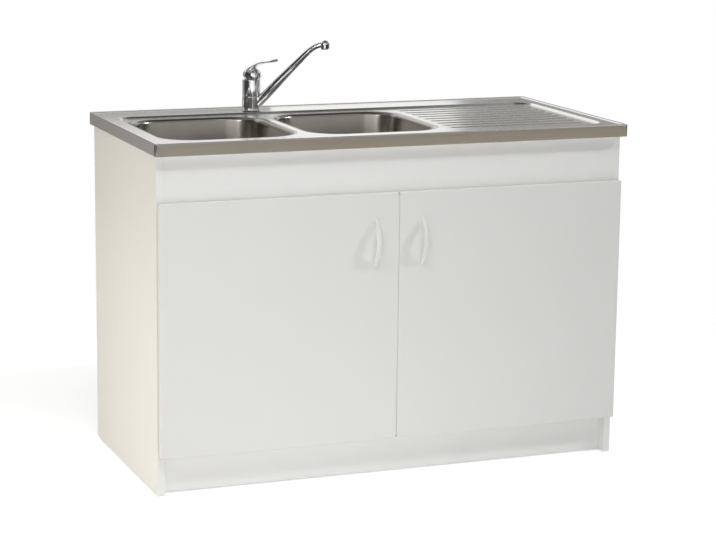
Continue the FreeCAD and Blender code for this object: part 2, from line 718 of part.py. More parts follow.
def left_hinge_pin(z):
    """Pin across the cup that the arm's eye turns on."""
    return rod(PIN_RADIUS - FIT, Vector(PIN_X, PIN_Y, z - PIN_HALF_LENGTH),
               Vector(PIN_X, PIN_Y, z + PIN_HALF_LENGTH))


def left_cup_screws():
    """Screws through the cups' ears into the door."""
    return [headed_screw(site.add(Vector(0, CUP_EAR_THICKNESS, 0)), Vector(0, -1, 0), SMALL_SCREW_RADIUS,
                         CUP_EAR_THICKNESS + CUP_SCREW_LENGTH, SMALL_SCREW_HEAD_RADIUS,
                         SMALL_SCREW_HEAD_HEIGHT) for site in cup_screw_sites()]


def left_hinge_arm(z):
    """Cranked arm: an eye on the pin, a crank round the side's front edge and a long foot on the plate."""
    bar_back = PIN_Y + ARM_THICKNESS / 2
    bar_front = PIN_Y - ARM_THICKNESS / 2
    end = FRONT + ARM_LENGTH
    crank = Part.makePolygon([
        Vector(PIN_X, bar_front, z), Vector(ARM_OUT, bar_front, z), Vector(ARM_OUT, end, z),
        Vector(ARM_IN, end, z), Vector(ARM_IN, bar_back, z), Vector(PIN_X, bar_back, z),
        Vector(PIN_X, bar_front, z)])
    crank = Part.Face(crank).extrude(Vector(0, 0, ARM_WIDTH))
    crank.translate(Vector(0, 0, -ARM_WIDTH / 2))
    bend = edges_at(crank, lambda p: abs(p.x - ARM_OUT) < FIT and p.y < FRONT)
    crank = crank.makeFillet(ARM_THICKNESS / 2, bend)
    neck = ARM_NECK_WIDTH / 2
    wide = ARM_WIDTH / 2
    shoulder = FRONT + ARM_SHOULDER
    plan = Part.makePolygon([
        Vector(PIN_X, PIN_Y - EYE_RADIUS, z - neck), Vector(PIN_X, FRONT, z - neck),
        Vector(PIN_X, shoulder, z - wide), Vector(PIN_X, end, z - wide), Vector(PIN_X, end, z + wide),
        Vector(PIN_X, shoulder, z + wide), Vector(PIN_X, FRONT, z + neck),
        Vector(PIN_X, PIN_Y - EYE_RADIUS, z + neck), Vector(PIN_X, PIN_Y - EYE_RADIUS, z - neck)])
    plan = Part.Face(plan).extrude(Vector(ARM_OUT - PIN_X, 0, 0))
    eye = rod(EYE_RADIUS, Vector(PIN_X, PIN_Y, z - neck), Vector(PIN_X, PIN_Y, z + neck))
    shape = merged(crank.common(plan), eye)
    shape = shape.cut(rod(PIN_RADIUS - FIT + PIN_CLEARANCE, Vector(PIN_X, PIN_Y, z - neck),
                          Vector(PIN_X, PIN_Y, z + neck)))
    for y in arm_screw_places():
        shape = shape.cut(rod(SMALL_SCREW_RADIUS + FIT, Vector(ARM_IN, y, z), Vector(ARM_OUT, y, z)))
    return shape


def arm_screw_places():
    """Where the arm is screwed to its plate."""
    return (PLATE_SCREW_Y, FRONT + ARM_LENGTH - ARM_WIDTH / 2)


def left_hinge_plate(z):
    """Mounting plate on the side: a raised rib for the arm and a wing for each screw."""
    y0 = FRONT + PLATE_START
    rib = block(Vector(SIDE_IN, y0, z - PLATE_WIDTH / 2),
                Vector(ARM_IN, y0 + PLATE_LENGTH, z + PLATE_WIDTH / 2))
    wings = block(Vector(SIDE_IN, y0, z - PLATE_WING_WIDTH / 2),
                  Vector(SIDE_IN + PLATE_WING_THICKNESS, y0 + PLATE_WING_LENGTH, z + PLATE_WING_WIDTH / 2))
    tips = [e for e in wings.Edges if abs(e.BoundBox.XLength - PLATE_WING_THICKNESS) < FIT]
    wings = wings.makeFillet(PLATE_WING_LENGTH / 3, tips)
    shape = merged(rib, wings)
    for side in (-1, 1):
        seat = Vector(SIDE_IN, PLATE_SCREW_Y, z + side * PLATE_SCREW_SPACING / 2)
        shape = shape.cut(rod(SCREW_RADIUS + FIT, seat, seat.add(Vector(PLATE_WING_THICKNESS, 0, 0))))
    for y in arm_screw_places():
        shape = shape.cut(rod(SMALL_SCREW_RADIUS + FIT, Vector(SIDE_IN, y, z), Vector(ARM_IN, y, z)))
    return shape


def plate_screw_sites():
    """Centres of the plate screws on the side's inner face."""
    return [Vector(SIDE_IN, PLATE_SCREW_Y, z + side * PLATE_SCREW_SPACING / 2)
            for z in HINGE_HEIGHTS for side in (-1, 1)]


def left_hinge_screws():
    """Screws of the mounting plates and of the arms on them."""
    screws = []
    for site in plate_screw_sites():
        seat = site.add(Vector(PLATE_WING_THICKNESS, 0, 0))
        screws.append(headed_screw(seat, Vector(-1, 0, 0), SCREW_RADIUS,
                                   PLATE_WING_THICKNESS + PLATE_SCREW_LENGTH,
                                   SMALL_SCREW_HEAD_RADIUS, SMALL_SCREW_HEAD_HEIGHT))
    for z in HINGE_HEIGHTS:
        for y in arm_screw_places():
            screws.append(headed_screw(Vector(ARM_OUT, y, z), Vector(-1, 0, 0), SMALL_SCREW_RADIUS,
                                       ARM_THICKNESS + ARM_OFFSET, SMALL_SCREW_HEAD_RADIUS,
                                       SMALL_SCREW_HEAD_HEIGHT))
    return screws


# Sink

def deck_outline(inset, z):
    """Outline of the sink, moved in by an inset."""
    return rounded_outline(SINK_LEFT + inset, -SINK_LEFT - inset, SINK_FRONT + inset, SINK_BACK - inset,
                           OUTER_CORNER - min(inset, OUTER_CORNER / 2), z)


def sunk_pan(sides, front, back, corner, drop, slope, top):
    """Tool that sinks an area of the deck: sloping walls round a flat floor, carried on above the top."""
    wires = []
    for spread, z in ((-slope, top - drop), (slope, top + drop)):
        wires.append(rounded_outline(SINK_LEFT + sides - spread, -SINK_LEFT - sides + spread,
                                     SINK_FRONT + front - spread, SINK_BACK - back + spread,
                                     corner + spread, z))
    return Part.makeLoft(wires, True, True)


def groove_lines():
    """Start and end of each drainer groove's axis."""
    start = RIGHT_BOWL_X + BOWL_WIDTH / 2 + GROOVE_BOWL_MARGIN
    end = -SINK_LEFT - GROOVE_END_MARGIN
    low = SINK_FRONT + GROOVE_SIDE_MARGIN
    pitch = (SINK_DEPTH - GROOVE_SIDE_MARGIN - GROOVE_BACK_MARGIN) / (GROOVE_COUNT - 1)
    z = FIELD_Z + GROOVE_RADIUS - GROOVE_SINK
    return [(Vector(start, low + i * pitch, z), Vector(end, low + i * pitch, z)) for i in range(GROOVE_COUNT)]


def softened(shape, sides, front, back, levels):
    """Round the edges of a sunk area: the brink at the first level and the foot at the second."""
    for level, radius in levels:
        shape = shape.makeFillet(radius, edges_at(
            shape, lambda p: abs(p.z - level) < FIT and abs(p.x) < -SINK_LEFT - sides + FIT
            and SINK_FRONT + front - FIT < p.y < SINK_BACK - back + FIT))
    return shape


def deck_form(sheet):
    """All that lies under the deck's surface, drawn in by a sheet's thickness."""
    bottom = CARCASS_TOP - sheet
    top = SINK_TOP - sheet
    border = BORDER_Z - sheet
    field = FIELD_Z - sheet
    brink = STEP_ROUND - sheet
    foot = STEP_ROUND + sheet
    shape = upright(deck_outline(sheet, bottom), top - bottom)
    rim = edges_at(shape, lambda p: p.z > top - FIT)
    shape = shape.makeFillet(RIM_ROUND - sheet, rim)
    bead = (BEAD_WIDTH, BEAD_WIDTH, BEAD_WIDTH)
    shape = shape.cut(sunk_pan(*bead, OUTER_CORNER, BEAD_DROP, BEAD_SLOPE, top))
    shape = softened(shape, *bead, ((top, brink), (border, foot)))
    margins = (FIELD_SIDE_MARGIN, FIELD_FRONT_MARGIN, FIELD_BACK_MARGIN)
    shape = shape.cut(sunk_pan(*margins, FIELD_CORNER, FIELD_DROP, FIELD_SLOPE, border))
    shape = softened(shape, *margins, ((border, brink), (field, foot)))
    for start, end in groove_lines():
        radius = GROOVE_RADIUS + sheet
        ends = (Part.makeSphere(radius, start), Part.makeSphere(radius, end))
        shape = shape.cut(merged(rod(radius, start, end), *ends))
    return shape


def bowl_outline(centre_x, spread, corner, z):
    """Bowl's outline, widened by a spread."""
    half_x = BOWL_WIDTH / 2 + spread
    half_y = BOWL_DEPTH / 2 + spread
    return rounded_outline(centre_x - half_x, centre_x + half_x, BOWL_Y - half_y, BOWL_Y + half_y,
                           corner + spread, z)


def bowl_form(centre_x, sheet):
    """Hollow of a bowl with its rolled lip, grown by a sheet's thickness."""
    floor = BOWL_FLOOR_Z - sheet
    hollow = Part.makeLoft([bowl_outline(centre_x, sheet - BOWL_DRAFT, BOWL_CORNER, floor),
                            bowl_outline(centre_x, sheet, BOWL_CORNER, FIELD_Z - sheet)], True, True)
    hollow = hollow.makeFillet(BOWL_FLOOR_ROUND + sheet, edges_at(hollow, lambda p: p.z < floor + FIT))
    spread = BOWL_LIP + BOWL_FLANGE + (FIT if not sheet else 0)
    mouth = upright(bowl_outline(centre_x, spread, BOWL_CORNER, FIELD_Z - sheet), BOWL_LIP)
    shape = merged(hollow, mouth)
    lip_z = FIELD_Z - sheet
    half_x = BOWL_WIDTH / 2 + sheet + FIT
    half_y = BOWL_DEPTH / 2 + sheet + FIT
    lip = edges_at(shape, lambda p: abs(p.z - lip_z) < FIT / 2 and abs(p.x - centre_x) < half_x
                   and abs(p.y - BOWL_Y) < half_y)
    return shape.makeFillet(BOWL_LIP - sheet, lip)


def bowl(centre_x):
    """Pressed bowl with a rolled lip that ends in a narrow flange, and the waste hole."""
    shape = bowl_form(centre_x, SHEET).cut(bowl_form(centre_x, 0.0))
    above = upright(deck_outline(0, FIELD_Z), 2 * BOWL_LIP)
    shape = shape.cut(above)
    drain = Vector(centre_x, BOWL_Y, BOWL_FLOOR_Z - 2 * SHEET)
    return shape.cut(rod(WASTE_HOLE_RADIUS, drain, Vector(centre_x, BOWL_Y, BOWL_FLOOR_Z + SHEET)))


def corner_seams():
    """Open upright seams where the apron's ends are folded round the front corners."""
    front = SINK_FRONT + SEAM_BEHIND_FRONT
    low = CARCASS_TOP + SHEET + SEAM_END_MARGIN
    high = SINK_TOP - RIM_ROUND - SEAM_END_MARGIN
    seam = block(Vector(SINK_LEFT - FIT, front, low),
                 Vector(SINK_LEFT + SHEET + FIT, front + SEAM_WIDTH, high))
    return (seam, mirrored(seam))


def sink_deck():
    """Pressed deck with its apron, return flange, drainer and the holes for bowls and tap."""
    shape = deck_form(0.0).cut(deck_form(SHEET))
    flange = upright(deck_outline(SHEET / 2, CARCASS_TOP), SHEET)
    opening = upright(deck_outline(RETURN_WIDTH, CARCASS_TOP), SHEET)
    shape = merged(shape, flange.cut(opening))
    for x in (LEFT_BOWL_X, RIGHT_BOWL_X):
        outline = bowl_outline(x, BOWL_LIP + BOWL_FLANGE, BOWL_CORNER, FIELD_Z - BOWL_LIP)
        shape = shape.cut(upright(outline, 2 * BOWL_LIP))
    shape = shape.cut(rod(TAP_HOLE_RADIUS, Vector(TAP_X, TAP_Y, FIELD_Z), Vector(TAP_X, TAP_Y, SINK_TOP)))
    for seam in corner_seams():
        shape = shape.cut(seam)
    for y in bracket_places():
        for x in (bracket_rise_x(), -bracket_rise_x()):
            shape = shape.cut(rod(SMALL_SCREW_RADIUS + FIT, Vector(x, y, CARCASS_TOP - SHEET),
                                  Vector(x, y, CARCASS_TOP + 2 * SHEET)))
    return shape


# Wastes, pipes and trap

def bowl_centre(centre_x, z):
    """Point on a bowl's vertical middle line."""
    return Vector(centre_x, BOWL_Y, z)


def strainer_flange(centre_x):
    """Steel waste: a flange on the bowl's floor and a cup through it, open at the bottom."""
    throat = WASTE_HOLE_RADIUS - CLEARANCE
    inner = throat - WASTE_CUP_WALL
    bottom = -WASTE_CUP_DEPTH
    return turned([
        (inner, WASTE_FLANGE_HEIGHT), (WASTE_FLANGE_RADIUS - WASTE_FLANGE_HEIGHT, WASTE_FLANGE_HEIGHT),
        (WASTE_FLANGE_RADIUS, 0), (throat, 0), (throat, bottom), (WASTE_OUTLET_RADIUS, bottom),
        (WASTE_OUTLET_RADIUS, bottom + WASTE_CUP_WALL), (inner, bottom + WASTE_CUP_WALL),
    ], bowl_centre(centre_x, BOWL_FLOOR_Z))


def waste_basket(centre_x):
    """Lift-out strainer basket: a perforated cup with a plug below and a knob above."""
    seat = BOWL_FLOOR_Z - WASTE_CUP_DEPTH + WASTE_CUP_WALL
    outer = WASTE_HOLE_RADIUS - CLEARANCE - WASTE_CUP_WALL - BASKET_CLEARANCE
    inner = outer - BASKET_WALL
    plug = WASTE_OUTLET_RADIUS - BASKET_CLEARANCE
    knob_top = BASKET_HEIGHT
    knob_low = knob_top - BASKET_KNOB_HEIGHT
    shape = turned([
        (0, -BASKET_PLUG_HEIGHT), (plug, -BASKET_PLUG_HEIGHT), (plug, 0), (outer, 0), (outer, BASKET_HEIGHT),
        (inner, BASKET_HEIGHT), (inner, BASKET_WALL), (BASKET_STEM_RADIUS, BASKET_WALL),
        (BASKET_STEM_RADIUS, knob_low), (BASKET_KNOB_RADIUS, knob_low + BASKET_WALL),
        (BASKET_KNOB_RADIUS, knob_top - BASKET_WALL), (BASKET_STEM_RADIUS, knob_top), (0, knob_top),
    ], bowl_centre(centre_x, seat))
    for i in range(BASKET_HOLE_COUNT):
        angle = 2 * math.pi * i / BASKET_HOLE_COUNT
        spot = bowl_centre(centre_x, seat).add(
            Vector(BASKET_HOLE_CIRCLE * math.cos(angle), BASKET_HOLE_CIRCLE * math.sin(angle), 0))
        shape = shape.cut(rod(BASKET_HOLE_RADIUS, spot, spot.add(Vector(0, 0, BASKET_WALL))))
    return shape


def waste_gasket(centre_x):
    """Rubber ring between the bowl's floor and the waste body."""
    return ring(GASKET_RADIUS, WASTE_HOLE_RADIUS, bowl_centre(centre_x, WASTE_BODY_TOP), GASKET_HEIGHT)


def waste_body(centre_x):
    """Plastic waste body: a collar round the steel cup, a cone and a spigot."""
    bore = WASTE_HOLE_RADIUS - CLEARANCE + FIT
    collar = bore + BODY_WALL
    hold = WASTE_BODY_TOP - (BOWL_FLOOR_Z - WASTE_CUP_DEPTH)
    spigot = PIPE_RADIUS
    end = -BODY_DROP - SPIGOT_LENGTH
    return turned([
        (bore, 0), (GASKET_RADIUS, 0), (GASKET_RADIUS, -BODY_WALL), (collar, -BODY_WALL - 2),
        (collar, -hold), (spigot, -BODY_DROP), (spigot, end), (spigot - PIPE_WALL, end),
        (spigot - PIPE_WALL, -BODY_DROP + BODY_WALL), (bore - BODY_WALL, -hold), (bore, -hold),
    ], bowl_centre(centre_x, WASTE_BODY_TOP))


def swept_pipe(path, radius):
    """Round solid along a path of straight runs and arcs."""
    start = path[0].valueAt(path[0].FirstParameter)
    heading = path[0].tangentAt(path[0].FirstParameter)
    section = Part.Wire(Part.makeCircle(radius, start, heading))
    return Part.Wire(path).makePipeShell([section], True, False)


def left_waste_bend():
    """Bend from the left waste's spigot to the level run."""
    x = LEFT_BOWL_X
    top = Vector(x, BOWL_Y, SPIGOT_END)
    low = Vector(x, BOWL_Y, CROSS_Z + BEND_RADIUS)
    reach = BEND_RADIUS * (1 - math.sqrt(0.5))
    mid = Vector(x + reach, BOWL_Y, CROSS_Z + reach)
    level = Vector(x + BEND_RADIUS, BOWL_Y, CROSS_Z)
    end = Vector(x + BEND_RADIUS + BEND_RUN, BOWL_Y, CROSS_Z)
    path = [Part.makeLine(top, low), Part.Arc(low, mid, level).toShape(), Part.makeLine(level, end)]
    return swept_pipe(path, PIPE_RADIUS).cut(swept_pipe(path, PIPE_RADIUS - PIPE_WALL))


def bend_end():
    """Open end of the left bend."""
    return Vector(LEFT_BOWL_X + BEND_RADIUS + BEND_RUN, BOWL_Y, CROSS_Z)


def branch_end():
    """Open end of the tee's side branch."""
    return Vector(RIGHT_BOWL_X - PIPE_RADIUS - TEE_BRANCH, BOWL_Y, CROSS_Z)


def cross_pipe():
    """Level pipe from the left bend to the tee."""
    return tube(PIPE_RADIUS, PIPE_WALL, bend_end(), branch_end())


def waste_tee():
    """Tee under the right waste, with its branch to the left."""
    top = bowl_centre(RIGHT_BOWL_X, SPIGOT_END)
    bottom = bowl_centre(RIGHT_BOWL_X, TRAP_TOP)
    middle = bowl_centre(RIGHT_BOWL_X, CROSS_Z)
    solid = merged(rod(PIPE_RADIUS, top, bottom), rod(PIPE_RADIUS, middle, branch_end()))
    bore = PIPE_RADIUS - PIPE_WALL
    return solid.cut(rod(bore, top, bottom)).cut(rod(bore, middle, branch_end()))


def outlet_start():
    """Where the trap's branch meets the outlet pipe."""
    return Vector(RIGHT_BOWL_X, BOWL_Y + TRAP_BRANCH, OUTLET_Z)


def trap_body():
    """Upper half of the bottle trap: a dome on the tee's tail, a dip tube inside and a branch to the back."""
    bore = PIPE_RADIUS - PIPE_WALL
    dip_end = -TRAP_BODY_HEIGHT - TRAP_CUP_HEIGHT / 3
    inner = TRAP_RADIUS - TRAP_WALL
    centre = bowl_centre(RIGHT_BOWL_X, TRAP_TOP)
    shape = turned([
        (bore, 0), (PIPE_RADIUS, 0), (TRAP_RADIUS, -TRAP_WALL * 4), (TRAP_RADIUS, -TRAP_BODY_HEIGHT),
        (inner, -TRAP_BODY_HEIGHT), (inner, -TRAP_WALL * 5), (PIPE_RADIUS, -TRAP_WALL * 2),
        (PIPE_RADIUS, dip_end), (bore, dip_end),
    ], centre)
    middle = bowl_centre(RIGHT_BOWL_X, OUTLET_Z)
    wall = middle.add(Vector(0, (inner + TRAP_RADIUS) / 2 - PIPE_RADIUS / 2, 0))
    branch = rod(PIPE_RADIUS, wall, outlet_start())
    hollow = rod(inner, middle.sub(Vector(0, 0, PIPE_RADIUS)), middle.add(Vector(0, 0, PIPE_RADIUS)))
    shape = merged(shape, branch.cut(hollow))
    return shape.cut(rod(bore, middle.add(Vector(0, PIPE_RADIUS + TRAP_WALL, 0)), outlet_start()))


def trap_cup():
    """Lower half of the bottle trap, a cup that unscrews."""
    inner = TRAP_RADIUS - TRAP_WALL
    return turned([
        (0, -TRAP_CUP_HEIGHT), (inner - TRAP_WALL, -TRAP_CUP_HEIGHT),
        (TRAP_RADIUS, TRAP_WALL * 3 - TRAP_CUP_HEIGHT), (TRAP_RADIUS, 0), (inner, 0),
        (inner, TRAP_WALL * 4 - TRAP_CUP_HEIGHT),
        (inner - TRAP_WALL * 2, TRAP_WALL - TRAP_CUP_HEIGHT), (0, TRAP_WALL - TRAP_CUP_HEIGHT),
    ], bowl_centre(RIGHT_BOWL_X, TRAP_TOP - TRAP_BODY_HEIGHT))


def trap_outlet_pipe():
    """Pipe from the trap to the back, its end turned down for the socket of the house drain."""
    end = Vector(RIGHT_BOWL_X, BACK - OUTLET_SETBACK, OUTLET_Z)
    shoulder = end.sub(Vector(0, OUTLET_SPIGOT_LENGTH, 0))
    solid = merged(rod(PIPE_RADIUS, outlet_start(), shoulder), rod(OUTLET_SPIGOT_RADIUS, shoulder, end))
    return solid.cut(rod(PIPE_RADIUS - PIPE_WALL, outlet_start(), end))


def waste_nuts():
    """Compression nuts over the pipe joints, and the trap's own ring."""
    half = NUT_LENGTH / 2
    nuts = []
    spigots = [(bowl_centre(x, SPIGOT_END), UP) for x in (LEFT_BOWL_X, RIGHT_BOWL_X)]
    for joint, way in spigots + [(bend_end(), RIGHT), (branch_end(), RIGHT), (outlet_start(), BACKWARD)]:
        start = joint.sub(Vector(way).multiply(half))
        end = joint.add(Vector(way).multiply(half))
        nut = rod(NUT_RADIUS, start, end)
        nut = nut.makeFillet(BODY_WALL, nut.Edges[0::2])
        nuts.append(nut.cut(rod(PIPE_RADIUS + FIT, start, end)))
    seam = bowl_centre(RIGHT_BOWL_X, TRAP_TOP - TRAP_BODY_HEIGHT - half)
    nuts.append(ring(TRAP_RADIUS + BODY_WALL, TRAP_RADIUS + FIT, seam, NUT_LENGTH))
    return nuts


# Mixer tap

def headed(shape, heading):
    """Turn a tap piece from the +X direction to its heading at rest."""
    shape.rotate(TAP_AXIS, UP, -heading)
    return shape


def tap_point(reach, height):
    """Point above the tap's axis, reach along +X before the piece is turned."""
    return Vector(TAP_X + reach, TAP_Y, BORDER_Z + height)


def tap_gasket():
    """Ring under the tap's base."""
    return ring(TAP_BASE_RADIUS - 1, TAP_HOLE_RADIUS, tap_point(0, 0), TAP_GASKET_HEIGHT)


def tap_body():
    """Cast body: threaded shank, base, column for the spout's collar and the upper body."""
    collar = TAP_BASE_HEIGHT
    upper = TAP_BASE_HEIGHT + TAP_COLLAR_HEIGHT
    shape = turned([
        (0, -TAP_SHANK_LENGTH), (TAP_SHANK_RADIUS, -TAP_SHANK_LENGTH), (TAP_SHANK_RADIUS, TAP_GASKET_HEIGHT),
        (TAP_BASE_RADIUS, TAP_GASKET_HEIGHT), (TAP_BASE_RADIUS, collar - 2), (TAP_BASE_RADIUS - 1.5, collar),
        (TAP_COLUMN_RADIUS, collar), (TAP_COLUMN_RADIUS, upper), (TAP_BODY_RADIUS - 1, upper),
        (TAP_BODY_RADIUS, upper + 1), (TAP_BODY_RADIUS, TAP_BODY_TOP - 2),
        (TAP_BODY_RADIUS - 2, TAP_BODY_TOP), (TAP_SPIGOT_RADIUS, TAP_BODY_TOP),
        (TAP_SPIGOT_RADIUS, TAP_BODY_TOP - TAP_SPIGOT_LENGTH), (0, TAP_BODY_TOP - TAP_SPIGOT_LENGTH),
    ], tap_point(0, 0))
    for side in (-1, 1):
        mouth = tap_point(side * TAP_INLET_OFFSET, -TAP_SHANK_LENGTH)
        shape = shape.cut(rod(TAP_INLET_RADIUS, mouth, mouth.add(Vector(0, 0, TAP_INLET_DEPTH))))
    return shape


def spout_stations():
    """Reach, height, slope and share of the way for each section: a steep climb, a bend, a short run."""
    rise = math.radians(SPOUT_RISE)
    end_rise = math.radians(SPOUT_END_RISE)
    root = TAP_COLUMN_RADIUS * 0.6
    apex_height = SPOUT_ROOT_HEIGHT + (SPOUT_APEX - root) * math.tan(rise)
    tangent = SPOUT_BEND_RADIUS * math.tan((rise - end_rise) / 2)
    run_end = SPOUT_APEX - tangent * math.cos(rise)
    height_end = apex_height - tangent * math.sin(rise)
    stations = []
    straight = 9
    for i in range(straight):
        share = i / straight
        height = SPOUT_ROOT_HEIGHT + (height_end - SPOUT_ROOT_HEIGHT) * share
        stations.append((root + (run_end - root) * share, height, rise, share))
    bends = 7
    for i in range(bends):
        angle = rise - (rise - end_rise) * i / (bends - 1)
        reach = run_end + SPOUT_BEND_RADIUS * (math.sin(rise) - math.sin(angle))
        height = height_end + SPOUT_BEND_RADIUS * (math.cos(angle) - math.cos(rise))
        stations.append((reach, height, angle, 1.0))
    height = apex_height + (SPOUT_REACH - SPOUT_APEX) * math.tan(end_rise)
    stations.append((SPOUT_REACH, height, end_rise, 1.0))
    return stations


def nose_point():
    """Middle of the spout's nose."""
    reach, height, _, _ = spout_stations()[-1]
    return reach, height


def tap_spout():
    """Swivel spout: a collar on the column, a tapering tube and a round nose."""
    low = tap_point(0, TAP_BASE_HEIGHT + CLEARANCE)
    height = TAP_COLLAR_HEIGHT - 2 * CLEARANCE
    collar = rod(TAP_COLLAR_RADIUS, low, low.add(Vector(0, 0, height)))
    collar = collar.makeFillet(1.5, [e for e in collar.Edges if e.Closed])
    wires = []
    for reach, level, angle, share in spout_stations():
        radius = SPOUT_ROOT_RADIUS + (SPOUT_TIP_RADIUS - SPOUT_ROOT_RADIUS) * share ** 0.7
        section = Part.Wire(Part.makeCircle(radius, Vector(0, 0, 0), RIGHT))
        section.rotate(Vector(0, 0, 0), BACKWARD, -math.degrees(angle))
        section.translate(tap_point(reach, level))
        wires.append(section)
    neck = Part.makeLoft(wires, True, False, False, 3)
    reach, level = nose_point()
    tip = tap_point(reach, level - SPOUT_NOSE_LENGTH)
    nose = merged(Part.makeSphere(SPOUT_NOSE_RADIUS, tap_point(reach, level)),
                  rod(SPOUT_NOSE_RADIUS, tip, tap_point(reach, level)))
    nose = nose.cut(Part.makeCylinder(2 * SPOUT_NOSE_RADIUS, SPOUT_NOSE_RADIUS, tip, Vector(0, 0, -1)))
    base = rod(TAP_BASE_RADIUS + CLEARANCE, tap_point(0, -TAP_BASE_HEIGHT), low)
    shape = merged(collar, neck.cut(base), nose)
    pocket = level - SPOUT_NOSE_LENGTH - AERATOR_DROP
    pocket_top = tap_point(reach, pocket + AERATOR_HEIGHT)
    shape = shape.cut(rod(AERATOR_RADIUS, tap_point(reach, pocket), pocket_top))
    bore = tap_point(0, TAP_BASE_HEIGHT - CLEARANCE)
    shape = shape.cut(rod(TAP_COLUMN_RADIUS + TAP_RUNNING, bore, bore.add(Vector(0, 0, TAP_COLLAR_HEIGHT))))
    room = tap_point(0, TAP_BASE_HEIGHT + TAP_COLLAR_HEIGHT - CLEARANCE)
    shape = shape.cut(rod(TAP_BODY_RADIUS + CLEARANCE, room, tap_point(0, TAP_BODY_TOP)))
    return headed(shape, SPOUT_HEADING)


def tap_aerator():
    """Aerator insert in the spout's nose."""
    reach, level = nose_point()
    low = level - SPOUT_NOSE_LENGTH - AERATOR_DROP
    shape = rod(AERATOR_RADIUS - FIT, tap_point(reach, low), tap_point(reach, low + AERATOR_HEIGHT))
    recess = rod(AERATOR_RADIUS * 0.75, tap_point(reach, low), tap_point(reach, low + AERATOR_DROP))
    return headed(shape.cut(recess), SPOUT_HEADING)


def tap_ball():
    """Cartridge ball that turns in the body and carries the lever's pin."""
    shape = Part.makeSphere(TAP_BALL_RADIUS, tap_point(0, TAP_BALL_HEIGHT))
    seat = tap_point(0, TAP_BODY_TOP + CLEARANCE)
    shape = shape.cut(Part.makeCylinder(TAP_BODY_RADIUS * 2, TAP_BALL_RADIUS * 2, seat, Vector(0, 0, -1)))
    spigot = rod(TAP_SPIGOT_RADIUS - TAP_RUNNING, tap_point(0, TAP_BODY_TOP - TAP_SPIGOT_LENGTH + CLEARANCE),
                 tap_point(0, TAP_BALL_HEIGHT))
    shape = merged(shape, spigot)
    return headed(shape.cut(lever_pin_rod(TAP_PIN_RADIUS)), LEVER_HEADING)


def lever_pin_rod(radius):
    """Round bar across the ball, square to the lever."""
    half = TAP_BALL_RADIUS + TAP_HOOD_GAP + TAP_HOOD_WALL * 0.7
    centre = tap_point(0, TAP_BALL_HEIGHT)
    return rod(radius, centre.sub(Vector(0, half, 0)), centre.add(Vector(0, half, 0)))


def tap_lever_pin():
    """Pin through the ball that the lever lifts on."""
    return headed(lever_pin_rod(TAP_PIN_RADIUS - FIT), LEVER_HEADING)


def lever_sections():
    """Outlines along the lever's blade: a broad root on the hood, a thin middle and a thicker lip."""
    spots = [Vector(LEVER_REACH * share, 0, height) for share, height, _ in LEVER_SECTIONS]
    wires = []
    for i, (share, height, thick) in enumerate(LEVER_SECTIONS):
        way = spots[min(i + 1, len(spots) - 1)].sub(spots[max(i - 1, 0)]).normalize()
        wide = LEVER_ROOT_WIDTH + (LEVER_TIP_WIDTH - LEVER_ROOT_WIDTH) * share
        centre = tap_point(LEVER_REACH * share, TAP_BALL_HEIGHT + height)
        ellipse = Part.Ellipse(centre.add(Vector(0, wide / 2, 0)),
                               centre.add(way.cross(BACKWARD).multiply(thick / 2)), centre)
        wires.append(Part.Wire(ellipse.toShape()))
    return wires


def tap_lever():
    """Lever: a domed hood over the ball, drawn out into a blade."""
    centre = tap_point(0, TAP_BALL_HEIGHT)
    inner = TAP_BALL_RADIUS + TAP_HOOD_GAP
    outer = inner + TAP_HOOD_WALL
    blade = Part.makeLoft(lever_sections(), True, False, False, 3)
    bulge = Part.makeSphere(TAP_HOOD_BULGE_RADIUS, centre.add(Vector(TAP_HOOD_BULGE, 0, 0)))
    shape = merged(Part.makeSphere(outer, centre), bulge, blade)
    shape = shape.cut(Part.makeSphere(inner, centre))
    tilt = math.degrees(math.atan2(TAP_HOOD_FRONT - TAP_HOOD_BACK, 2 * outer))
    corner = centre.add(Vector(-4 * outer, -2 * outer, -4 * outer - (TAP_HOOD_FRONT + TAP_HOOD_BACK) / 2))
    below = Part.makeBox(8 * outer, 4 * outer, 4 * outer, corner)
    below.rotate(centre, BACKWARD, tilt)
    shape = shape.cut(below)
    return headed(shape.cut(lever_pin_rod(TAP_PIN_RADIUS - FIT + TAP_RUNNING)), LEVER_HEADING)


def tap_washer():
    """Washer under the deck."""
    low = tap_point(0, -SHEET - TAP_WASHER_HEIGHT)
    return ring(TAP_WASHER_RADIUS, TAP_SHANK_RADIUS + FIT, low, TAP_WASHER_HEIGHT)


def tap_nut():
    """Hexagon nut that draws the tap down on the deck."""
    low = tap_point(0, -SHEET - TAP_WASHER_HEIGHT - TAP_NUT_HEIGHT)
    corners = [low.add(Vector(TAP_NUT_RADIUS * math.cos(math.radians(60 * i)),
                              TAP_NUT_RADIUS * math.sin(math.radians(60 * i)), 0)) for i in range(7)]
    shape = upright(Part.makePolygon(corners), TAP_NUT_HEIGHT)
    return shape.cut(rod(TAP_SHANK_RADIUS + FIT, low, low.add(Vector(0, 0, TAP_NUT_HEIGHT))))


def carcass_nodes():
    """Boards and the fittings that stay with them."""
    side = left_side_panel()
    return {
        "left_side_panel": [side],
        "right_side_panel": [mirrored(side)],
        "bottom_panel": [cross_board("bottom_panel")],
        "fascia_board": [cross_board("fascia_board")],
        "rear_top_rail": [rear_top_rail()],
        "rear_bottom_rail": [cross_board("rear_bottom_rail")],
        "plinth_board": [cross_board("plinth_board")],
        "bottom_bearer": [bottom_bearer()],
        "floor_glides": floor_glides(),
        "cam_bolts": cam_bolts(),
        "cam_discs": cam_discs(),
        "dowels": dowels(),
        "door_buffers": door_buffers(),
        "sink_brackets": sink_brackets(),
        "sink_bracket_screws": sink_bracket_screws(),
    }


